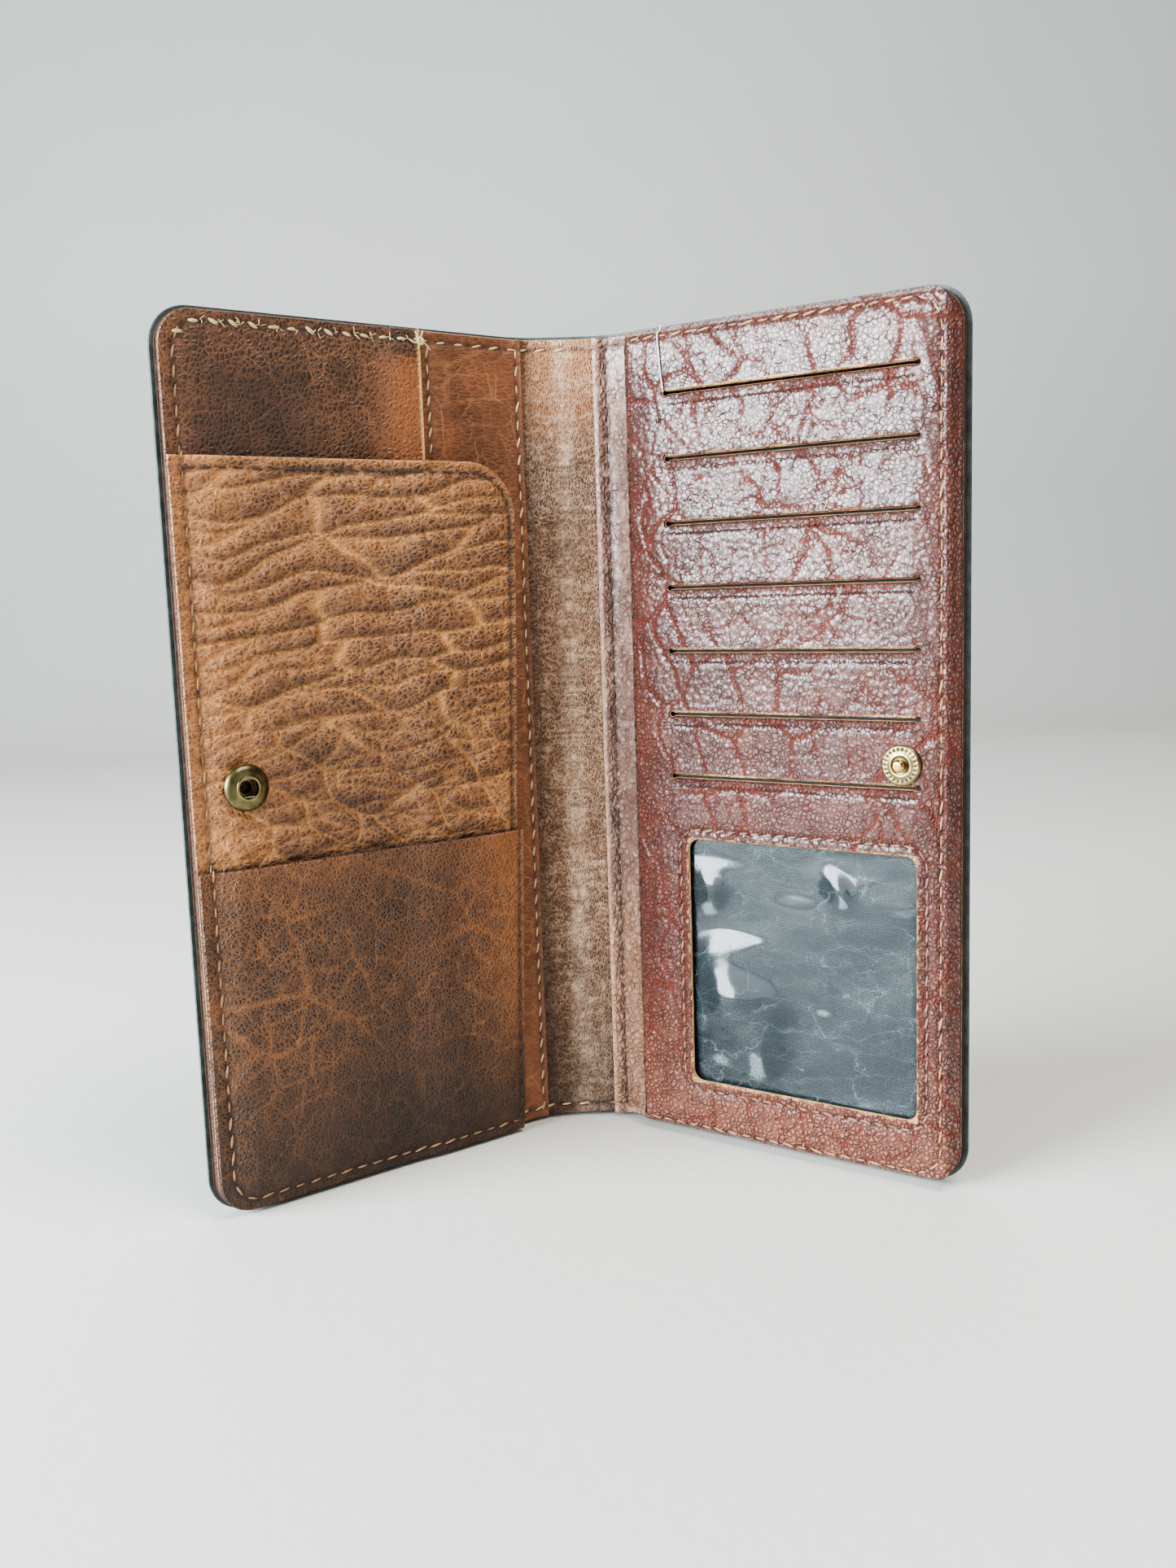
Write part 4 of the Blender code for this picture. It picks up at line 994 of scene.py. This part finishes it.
sides = ((-1, "left"), (1, "right"))
coverSeams = [(edgeSeam(-14), False), upright(seams["fold"])]
for side, word in sides:
    lines = coverSeams + ([upright(seams["strip"])] if side < 0 else [])
    outline = leafOutline(middle, wallet["leaf"], 0, wallet["high"], wallet["corner"])
    cover = cutPiece("cover_" + word + "_hide", side, outline, constant(0), 1.2, coverSurface(lines, 171 + side),
                     "cover", "coverEdge", spacing=0.85, roundness=0.45, bands=(0.3, 0.7), outward=True,
                     join=middle)
    settle(cover, "cover_leather", "cover_" + word, "cover_spine", bends=side)
    outline = leafOutline(middle, *inner)
    lining = cutPiece("lining_" + word + "_hide", side, outline, constant(0.12), 0.62,
                      linedSurface(181 + side), "lining", "darkEdge", spacing=2.0, bands=(), join=middle)
    settle(lining, "lining_leather", "lining_" + word, bends=side)
    outline = box(middle, 4.2, wallet["foot"], wallet["top"])
    spine = cutPiece("spine_lining_" + word, side, outline, constant(0.95), 0.55, spineSurface(side),
                     "spine", "tanEdge", spacing=0.4, bands=(0.2,), join=middle)
    settle(spine, "spine_leather", "spine_lining", bends=side)

# ---- left leaf
outline = box(0.0, 31.5, wallet["foot"], wallet["top"])
strip = cutPiece("facing_strip_hide", -1, outline, constant(1.35), 0.6, stripSurface, "strip", "tanEdge",
                 spacing=0.55, bands=(0.25,))
settle(strip, "strip_leather", "facing_strip", bends=-1)


def cashBack(u, z):
    return 1.2 + stripStep(u) + 0.1


outline = leafOutline(28.2, *inner)
cash = cutPiece("cash_pocket_hide", -1, outline, cashBack, 0.9, cashSurface, "cash", "darkEdge", spacing=0.6)
settle(cash, "cash_leather", "cash_pocket_panel", rides="left_leaf")


def circle(u, z, radius, steps=20):
    return [(u + radius * cos(2 * pi * i / steps), z + radius * sin(2 * pi * i / steps)) for i in range(steps)]


outline = ([(pocketSide(wallet["foot"]), wallet["foot"])]
           + arc(wallet["edge"] - 7.7, wallet["foot"] + 7.7, 7.7, 3, 4) + [(wallet["edge"], pocket["top"])]
           + arc(pocket["sideTop"] + 12.1, pocket["top"] - 12, 12, 1, 1.97))
phone = cutPiece("phone_pocket_hide", -1, outline, phoneBack, 0.9, bisonSurface, "bison", "darkEdge",
                 holes=[circle(snap["u"], snap["z"], 2.0)], spacing=0.5, coarse=2.2)
settle(phone, "bison_leather", "phone_pocket_panel", rides="left_leaf")


def lowerBack(u, z):  # its mouth stands a little open too
    mouth = 0.7 * smooth((z - 58) / 17.3) * smooth((wallet["edge"] - u) / 14) * smooth((u - 10.5) / 8)
    return phoneBack(u, z) + 1.2 + mouth


foot = pocketSide(wallet["foot"]) - pocket["lap"]
outline = ([(foot, wallet["foot"])] + arc(wallet["edge"] - 7.7, wallet["foot"] + 7.7, 7.7, 3, 4)
           + [(wallet["edge"], pocket["lowerTop"]), (pocketSide(75) - pocket["lap"], pocket["lowerTop"])])
lower = cutPiece("lower_pocket_hide", -1, outline, lowerBack, 0.9, crackleSurface,
                 "crackle", "darkEdge", spacing=0.6)
settle(lower, "crackle_leather", "lower_pocket_panel", rides="left_leaf")
print("left leaf cut")

# ---- right leaf
outline = leafOutline(-2.2, *inner)
slip = cutPiece("slip_pocket_hide", 1, outline, lambda u, z: 1.15 + 0.35 * smooth((3 - u) / 4), 0.8, slipSurface,
                "slip", "darkEdge", spacing=0.75)
settle(slip, "pebbled_leather", "slip_pocket_panel", bends=1)


def slitOutline(z):
    r, join = card["hole"], 0.39
    return arc(card["slitStart"], z, r, join, 4 - join, 8) + arc(card["slitEnd"], z, r, join - 2, 2 - join, 8)


outline = leafOutline(card["start"], *inner)
holes = [slitOutline(card["slitTop"] - card["slitPitch"] * k) for k in range(card["slits"])]
holes += [roundedBox(card["windowStart"], card["windowEnd"], card["windowFoot"], card["windowTop"],
                     card["windowCorner"])]
panel = cutPiece("card_panel_hide", 1, outline, cardBack, 0.9, cardSurface, "pebbled", "darkEdge", holes=holes,
                 spacing=0.52, coarse=1.5, holeEdge="creamEdge")
settle(panel, "pebbled_leather", "card_panel", rides="right_leaf")


# clear vinyl and the cloth behind it
def paneWave(u, z):
    wave = 0.62 * np.exp(-((u - 31) / 8) ** 2 - ((z - 30) / 19) ** 2) + 0.16 * np.sin(u / 9 - z / 4.6 + 0.6)
    wave = wave + 0.34 * np.exp(-((u - 60) / 6) ** 2 - ((z - 64) / 7) ** 2) + 0.13 * drift(u, z, 10, 7, 201)
    return wave + 0.30 * np.exp(-((u - 25) / 5) ** 2 - ((z - 64) / 6) ** 2) - 0.2


def paneBack(u, z):
    return cardBack(u, z) - 1.0


def paneSurface(u, z, d):
    return paneWave(u, z) * smooth(d / 6), {}


def paneHollow(u, z):
    near = np.minimum(np.minimum(u - 21, 82.7 - u), np.minimum(z - 11.6, 76 - z))
    return paneWave(u, z) * smooth(near / 6)


outline = roundedBox(21.0, 82.7, 11.6, 76.0, 2.5)
pane = cutPiece("window_vinyl", 1, outline, paneBack, 0.25, paneSurface, "clearVinyl", "clearVinyl", spacing=1.1,
                roundness=0.08, bands=(), coarse=1.1, backSurface=paneHollow)
settle(pane, "clear_vinyl", "window_pane", rides="right_leaf")


def clothWave(u, z, d):
    return 0.05 * drift(u, z, 9, 7, 205) * smooth(d / 3), {}


windowCloth = cutPiece("window_cloth", 1, outline, lambda u, z: cardBack(u, z) - 1.75, 0.2, clothWave, "windowNylon",
                       "windowNylon", spacing=1.6, roundness=0.05, bands=(), coarse=1.6)
settle(windowCloth, "window_nylon", "window_lining", rides="right_leaf")

pockets = dict(depth=78.0, rise=0.36 / card["slitPitch"], thick=0.12)
for k in range(card["slits"]):
    top = card["slitTop"] - card["slitPitch"] * k - 0.1
    foot = top - pockets["depth"]
    cloth = cutPiece("card_pocket_cloth_%d" % (k + 1), 1, box(20.0, 80.3, foot, top),
                     lambda u, z, foot=foot: 2.2 + pockets["rise"] * (z - foot), pockets["thick"],
                     lambda u, z, d, k=k: (0.03 * drift(u, z, 7, 9, 211 + k) * smooth(d / 3), {}),
                     "pocketNylon", "pocketNylon", spacing=2.2, roundness=0.02, bands=(), coarse=2.2)
    settle(cloth, "pocket_nylon", "card_pocket_%d" % (k + 1), rides="right_leaf")
print("right leaf cut")


# ---- stitches
def stitchTree():
    tree = bpy.data.node_groups.new("stitches", "GeometryNodeTree")
    face = tree.interface
    face.new_socket("Geometry", in_out="INPUT", socket_type="NodeSocketGeometry")
    for name, value in (("Pitch", 0.0036), ("Length", 0.0026), ("Thickness", 0.0005), ("Slant", 0.2),
                        ("Unevenness", 0.2)):
        face.new_socket(name, in_out="INPUT", socket_type="NodeSocketFloat").default_value = value
    face.new_socket("Seed", in_out="INPUT", socket_type="NodeSocketInt")
    face.new_socket("Thread", in_out="INPUT", socket_type="NodeSocketMaterial")
    face.new_socket("Geometry", in_out="OUTPUT", socket_type="NodeSocketGeometry")

    def node(kind, settings=None, output=0, **sockets):
        made = tree.nodes.new(kind)
        for key, value in (settings or {}).items():
            setattr(made, key, value)
        for key, value in sockets.items():
            socket = made.inputs[int(key[2:])] if key[:2] == "in" and key[2:].isdigit() else made.inputs[key]
            if isinstance(value, bpy.types.NodeSocket):
                tree.links.new(value, socket)
            else:
                socket.default_value = value
        return made.outputs[output]

    given = tree.nodes.new("NodeGroupInput").outputs
    curve = node("GeometryNodeMeshToCurve", Mesh=given["Geometry"])
    rows = node("GeometryNodeResampleCurve", {"mode": "LENGTH"}, Curve=curve, Length=given["Pitch"])
    bead = node("GeometryNodeMeshUVSphere", Segments=8, Rings=6, Radius=0.5)
    tangent = node("GeometryNodeInputTangent")
    facing = node("FunctionNodeAlignRotationToVector", {"axis": "X"}, Vector=tangent)
    low = node("ShaderNodeMath", {"operation": "MULTIPLY"}, in0=given["Unevenness"], in1=-1.0)
    swing = node("FunctionNodeRandomValue", {"data_type": "FLOAT"}, 1, in2=low, in3=given["Unevenness"],
                 Seed=given["Seed"])
    lean = node("ShaderNodeMath", {"operation": "ADD"}, in0=swing, in1=given["Slant"])
    slant = node("ShaderNodeCombineXYZ", Y=lean)
    euler = node("FunctionNodeEulerToRotation", Euler=slant)
    turn = node("FunctionNodeRotateRotation", {"rotation_space": "LOCAL"}, Rotation=facing, in1=euler)
    grow = node("FunctionNodeRandomValue", {"data_type": "FLOAT"}, 1, in2=0.78, in3=1.15, Seed=given["Seed"])
    size = node("ShaderNodeCombineXYZ", X=given["Length"], Y=given["Thickness"], Z=given["Thickness"])
    scaled = node("ShaderNodeVectorMath", {"operation": "SCALE"}, in0=size, Scale=grow)
    spread = node("GeometryNodeInstanceOnPoints", Points=rows, Instance=bead, Rotation=turn,
                  Scale=scaled)
    real = node("GeometryNodeRealizeInstances", Geometry=spread)
    soft = node("GeometryNodeSetShadeSmooth", Geometry=real)
    threaded = node("GeometryNodeSetMaterial", Geometry=soft, Material=given["Thread"])
    tree.links.new(threaded, tree.nodes.new("NodeGroupOutput").inputs[0])
    return tree


stitches = stitchTree()


def stitchRow(name, lines, look):
    # lines are rows of points in metres; each is (points, closed)
    verts, edges = [], []
    for points, closed in lines:
        start = len(verts)
        verts += [tuple(p) for p in points]
        edges += [(start + i, start + i + 1) for i in range(len(points) - 1)]
        if closed:
            edges.append((len(verts) - 1, start))
    mesh = bpy.data.meshes.new(name + "_path")
    mesh.from_pydata(verts, edges, [])
    path = bpy.data.objects.new(name + "_path", mesh)
    bpy.context.scene.collection.objects.link(path)
    modifier = path.modifiers.new("stitches", "NODES")
    modifier.node_group = stitches
    ids = {s.name: s.identifier for s in stitches.interface.items_tree if s.in_out == "INPUT"}
    for key in ("Pitch", "Length", "Thickness", "Slant", "Unevenness"):
        modifier[ids[key]] = float(look[key.lower()])
    modifier[ids["Seed"]] = look["seed"]
    modifier[ids["Thread"]] = finishes[look["thread"]]
    bpy.context.view_layer.update()
    graph = bpy.context.evaluated_depsgraph_get()
    made = bpy.data.meshes.new_from_object(path.evaluated_get(graph))
    bpy.data.objects.remove(path)
    row = bpy.data.objects.new(name, made)
    bpy.context.scene.collection.objects.link(row)
    return row


def over(side, points, level, surface, closed=False, lift=0.06):
    # a seam laid on the shown face of its hide
    line = spaced(points, 0.6, closed)
    u, z = line[:, 0], line[:, 1]
    relief, _ = surface(u, z, np.full(len(u), 3.0))
    return place(side, u, level(u, z) + relief + lift, z), closed


def above(back):  # the shown side of a hide 0.9 thick
    return lambda u, z: back(u, z) + 0.9


def slipTop(u, z):
    return 1.95 + 0.35 * smooth((3 - u) / 4)


cashTop, phoneTop, lowerTop, cardTop = above(cashBack), above(phoneBack), above(lowerBack), above(cardBack)
stripTop, spineTop = constant(1.95), constant(1.5)
threadNames = ("pitch", "length", "thickness", "slant", "unevenness", "seed", "thread")
threads = dict(
    topCream=(0.0043, 0.0022, 0.00075, 0.15, 0.5, 3, "creamThread"),
    sideTan=(0.0038, 0.0029, 0.0005, 0.1, 0.12, 5, "tanThread"),
    dark=(0.0036, 0.0028, 0.00052, 0.12, 0.12, 7, "darkThread"),
    rubbed=(0.0034, 0.0028, 0.0005, 0.14, 0.12, 9, "rubbedThread"),
    cream=(0.0040, 0.0026, 0.0005, 0.12, 0.2, 11, "creamThread"),
    black=(0.0040, 0.0032, 0.0006, 0.1, 0.06, 13, "blackThread"),
)
seam = spaced(edgeSeam(12), 0.4, False)
upper = seam[(seam[:, 1] > 100) & (seam[:, 0] > 28.6)]
flatTop = upper[upper[:, 1] > wallet["high"] - seams["inset"] - 2.6]
sideCash = upper[(upper[:, 1] <= wallet["high"] - seams["inset"] - 2.6) & (upper[:, 1] > pocket["top"] + 0.5)]
sidePhone = seam[(seam[:, 0] > 60) & (seam[:, 1] <= pocket["top"] - 0.5) & (seam[:, 1] > pocket["lowerTop"] + 0.5)]
sideLower = seam[(seam[:, 1] <= pocket["lowerTop"] - 0.5) & (seam[:, 0] > 12)]


def sew(name, kind, rows, *nodes, rides=None, bends=0, **changes):
    look = dict(zip(threadNames, threads[kind]), **changes)
    settle(stitchRow(name, rows, look), "waxed_thread", *nodes, rides=rides, bends=bends)


sew("top_stitches_left", "topCream", [over(-1, flatTop, cashTop, cashSurface, lift=0.12)], "edge_thread_left",
    rides="left_leaf")
rows = [over(-1, sideCash, cashTop, cashSurface), over(-1, sidePhone, phoneTop, bisonSurface),
        over(-1, sideLower, lowerTop, crackleSurface)]
sew("edge_stitches_left", "sideTan", rows, "edge_thread_left", rides="left_leaf")
mouthLine = mouthSeam(84.0, pocketSide(76.5) + seams["pocketSide"], 76.5)
sew("phone_pocket_stitches", "dark", [over(-1, mouthLine, phoneTop, bisonSurface)], "phone_pocket_thread",
    rides="left_leaf")
lowerLine = [(pocket["sideFoot"] + 0.3, 4.2), (pocketSide(74) - pocket["lap"] + 1.3, 74.2)]
sew("lower_pocket_stitches", "dark", [over(-1, lowerLine, lowerTop, crackleSurface)], "lower_pocket_thread",
    rides="left_leaf")
stripLine = [(seams["strip"], pocket["top"] - 4), (seams["strip"], 184.5)]
sew("strip_stitches", "cream", [over(-1, stripLine, stripTop, stripSurface)], "strip_thread", rides="left_leaf",
    pitch=0.0032)
foldLine = [(seams["fold"], 3.4), (seams["fold"], 186)]
sew("fold_stitches_left", "cream", [over(-1, foldLine, stripTop, stripSurface)], "fold_thread_left", bends=-1)

# across the spine, from its middle to where the next layer begins and then over that
crossings = (("cream", stripTop, stripSurface, -0.4, 2.8, 27.0), ("rubbed", slipTop, slipSurface, -2.8, -1.2, 7.2))
for (side, word), (kind, level, surface, stop, start, end) in zip(sides, crossings):
    rows = []
    for z in (seams["inset"], wallet["high"] - seams["inset"]):
        rows.append(over(side, [(middle + 0.3, z), (stop, z)], spineTop, spineSurface(side)))
        rows.append(over(side, [(start, z), (end, z)], level, surface))
    sew("spine_stitches_" + word, kind, rows, "spine_thread_top", "spine_thread_foot", bends=side)

sew("edge_stitches_right", "sideTan", [over(1, edgeSeam(9.4), cardTop, cardSurface)], "edge_thread_right",
    rides="right_leaf", pitch=0.0036, seed=21)
sew("card_panel_stitches", "dark", [over(1, [(hemAt, 4.6), (hemAt, 185.4)], cardTop, cardSurface)],
    "card_panel_thread", rides="right_leaf", pitch=0.0032)
sew("slip_pocket_stitches", "dark", [over(1, [(1.4, 4.2), (1.4, 185.8)], slipTop, slipSurface)],
    "slip_pocket_thread", bends=1, seed=23)
sew("window_stitches", "rubbed", [over(1, windowSeam, cardTop, cardSurface, True)], "window_thread",
    rides="right_leaf", pitch=0.0031, length=0.0025)

# the same seams on the outside of the cover
for side, word in sides:
    surface = coverSurface(coverSeams, 171 + side)
    rows = []
    for points, closed in coverSeams + ([upright(seams["strip"])] if side < 0 else []):
        line = spaced(points, 0.6, closed)
        line = line[line[:, 0] > middle + 0.3]
        relief, _ = surface(line[:, 0], line[:, 1], np.full(len(line), 3.0))
        rows.append((place(side, line[:, 0], -1.2 - relief - 0.06, line[:, 1]), closed))
    sew("outer_stitches_" + word, "black", rows, bends=side)
print("stitches sewn")


# ---- loose thread ends
def strand(name, paths, radius, thread, sides=7):
    # tapered tubes along rows of points in metres
    verts, faces = [], []
    for points in paths:
        points = np.array(points)
        start = len(verts)
        along = np.gradient(points, axis=0)
        along /= np.linalg.norm(along, axis=1)[:, None]
        for k, (p, t) in enumerate(zip(points, along)):
            first = np.cross(t, (0.3, 0.9, 0.2))
            first /= np.linalg.norm(first)
            second = np.cross(t, first)
            thin = radius * (1 if 0 < k < len(points) - 1 else 0.45)
            verts += [p + thin * (cos(2 * pi * i / sides) * first + sin(2 * pi * i / sides) * second)
                      for i in range(sides)]
        for k in range(len(points) - 1):
            a = start + k * sides
            faces += [(a + i, a + (i + 1) % sides, a + sides + (i + 1) % sides, a + sides + i) for i in range(sides)]
        last = start + (len(points) - 1) * sides
        faces += [tuple(start + i for i in reversed(range(sides))), tuple(last + i for i in range(sides))]
    return addMesh(name, verts, faces, [thread], smooth=60)


rng = np.random.default_rng(17)


def tuft(u, z, level, spread, count, reach):
    paths = []
    for _ in range(count):
        angle = rng.uniform(0, 2 * pi)
        size = reach * rng.uniform(0.4, 1.0)
        steps = np.linspace(0, 1, 6)
        bendBy = rng.uniform(-0.5, 0.5)
        uu = u + rng.uniform(-spread, spread) + size * steps * np.cos(angle + bendBy * steps)
        zz = z + rng.uniform(-spread, spread) + size * steps * np.sin(angle + bendBy * steps)
        lift = 0.12 + 0.55 * np.sin(steps * pi * 0.8) * rng.uniform(0.1, 0.5)
        paths.append(place(-1, uu, level(uu, zz) + lift, zz))
    return paths


fibres = []
for u in np.arange(31.5, 82, 4.3):
    fibres += tuft(u, wallet["high"] - seams["inset"], cashTop, 0.35, int(rng.integers(2, 6)), 1.5)
frayed = strand("frayed_stitch_ends", fibres, 0.00009, "creamThread", 5)
settle(frayed, "waxed_thread", rides="left_leaf")

# the knot where the strip seam meets the top seam
knotAt = (28.5, 186.6)
turns = np.linspace(0, 5 * pi, 60)
coilLevel = cashTop(np.array(knotAt[0]), 0) + 0.35 + 0.35 * np.sin(turns * 0.43)
coil = place(-1, knotAt[0] + 0.55 * np.cos(turns), coilLevel, knotAt[1] + 0.75 * np.sin(turns))
legs = [[(27.6, 188.9), (28.4, 187.2), (28.5, 186.5)], [(29.6, 188.7), (28.9, 187.4), (28.5, 186.5)],
        [(28.5, 186.5), (27.2, 186.2), (25.9, 184.9)], [(28.5, 186.5), (29.9, 186.2), (31.2, 186.8)]]
knotPaths = [coil]
for leg in legs:
    line = spaced(leg, 0.25, False)
    knotPaths.append(place(-1, line[:, 0], np.maximum(cashTop(line[:, 0], 0), 2.2) + 0.25, line[:, 1]))
knotPaths += tuft(knotAt[0], knotAt[1], cashTop, 0.3, 6, 1.6)
knot = strand("seam_knot", knotPaths, 0.00021, "creamThread")
settle(knot, "waxed_thread", rides="left_leaf")

# a pale thread end left on the card panel
endLine = np.linspace(0, 1, 24)
endU, endZ = 18.6 + 1.8 * endLine, 189.6 - 15.2 * endLine
straight = 4.2 + (6.9 - 4.2) * endLine ** 0.8
endN = np.maximum(cardTop(endU, endZ) + cardRise(endU, endZ) + 0.3, straight)
looseEnd = strand("loose_thread_end", [place(1, endU, endN, endZ)], 0.00017, "whiteThread")
settle(looseEnd, "waxed_thread", rides="right_leaf")
print("thread ends laid")


# ---- ring snap, turned profiles as (radius, height) over the leather
def turned(name, side, base, profile, finish, worn, steps=72, dimples=None):
    verts, faces, rows = [], [], len(profile)
    for i in range(steps):
        a = 2 * pi * i / steps
        for r, h in profile:
            if dimples and dimples["from"] < r < dimples["to"]:
                beat = max(0, cos(a * dimples["count"])) ** 2
                h = h - dimples["depth"] * beat * sin(pi * (r - dimples["from"]) / (dimples["to"] - dimples["from"]))
            verts.append(place(side, snap["u"] + r * cos(a), base + h, snap["z"] + r * sin(a)))
        for k in range(rows - 1):
            a, b = i * rows + k, ((i + 1) % steps) * rows + k
            faces.append((a, b, b + 1, a + 1))
    piece = addMesh(name, verts, faces, [finish], attributes={"worn": np.array(list(worn) * steps)}, smooth=35)
    bm = bmesh.new()
    bm.from_mesh(piece.data)
    bmesh.ops.remove_doubles(bm, verts=bm.verts, dist=1e-7)
    bmesh.ops.recalc_face_normals(bm, faces=bm.faces)
    if bm.calc_volume(signed=True) < 0:
        bmesh.ops.reverse_faces(bm, faces=bm.faces)
    bm.to_mesh(piece.data)
    bm.free()
    return piece


socketBase, studBase = 4.759, 6.813
socket = [(3.05, 0.0), (3.05, 0.45), (2.15, 0.5), (2.1, 0.6), (2.1, 0.55), (3.05, 0.62), (3.05, 1.3), (2.15, 1.36),
          (2.1, 1.46), (2.16, 1.62), (2.32, 1.70), (2.52, 1.70), (2.68, 1.62), (2.74, 1.50), (2.86, 1.44),
          (3.3, 1.42), (3.9, 1.30), (4.4, 1.06), (4.75, 0.72), (4.94, 0.40), (5.0, 0.18), (4.96, 0.0), (3.05, 0.0)]
wornRing = [0, 0, 0, 0, 0, 0, 0, 0.4, 0.8, 1, 1, 1, 1, 0.7, 0.2, 0, 0, 0, 0.1, 0.3, 0.3, 0, 0]
socketRing = turned("snap_socket_cap", -1, socketBase, socket, "greenBrass", wornRing)
settle(socketRing, "antique_brass", "snap_socket", rides="left_leaf")
stud = [(0.0, 0.0), (4.2, 0.0), (4.3, 0.12), (4.3, 0.30), (4.16, 0.48), (3.9, 0.58), (3.6, 0.60), (3.45, 0.60),
        (3.3, 0.60), (3.15, 0.60), (3.0, 0.60), (2.7, 0.66), (2.45, 0.80), (2.2, 0.84), (2.0, 0.76), (1.85, 0.5),
        (1.5, 0.42), (1.2, 0.45), (1.15, 0.6), (1.15, 1.4), (1.36, 1.62), (1.42, 1.85), (1.36, 2.15), (1.15, 2.38),
        (0.8, 2.48), (0.35, 2.5), (0.0, 2.5)]
wornStud = [0] * 11 + [0.2, 0.6, 0.6, 0.2] + [0] * 5 + [0.5, 0.9, 0.9, 1, 1, 1, 1]
studCap = turned("snap_stud_cap", 1, studBase, stud, "paleBrass", wornStud, 132,
                 {"from": 2.95, "to": 3.85, "count": 22, "depth": 0.22})
studCap.data.materials.append(finishes["tipBrass"])
tipFrom = float(np.linalg.norm(place(1, snap["u"], studBase + 1.0, snap["z"]) - place(1, snap["u"], 0, snap["z"])))
axis = Vector(place(1, snap["u"], 1.0, snap["z"]) - place(1, snap["u"], 0, snap["z"])).normalized()
seat = Vector(place(1, snap["u"], 0, snap["z"]))
for face in studCap.data.polygons:
    if (face.center - seat).dot(axis) > tipFrom:
        face.material_index = 1
settle(studCap, "antique_brass", "snap_stud", rides="right_leaf")
for node, finish in (("socket_eyelet", "greenBrass"), ("stud_eyelet", "greenBrass"), ("socket_spring", "steel")):
    for slot in frame["nodes"][node].material_slots:
        slot.material = finishes[finish]
print("snap fitted")

low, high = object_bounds()
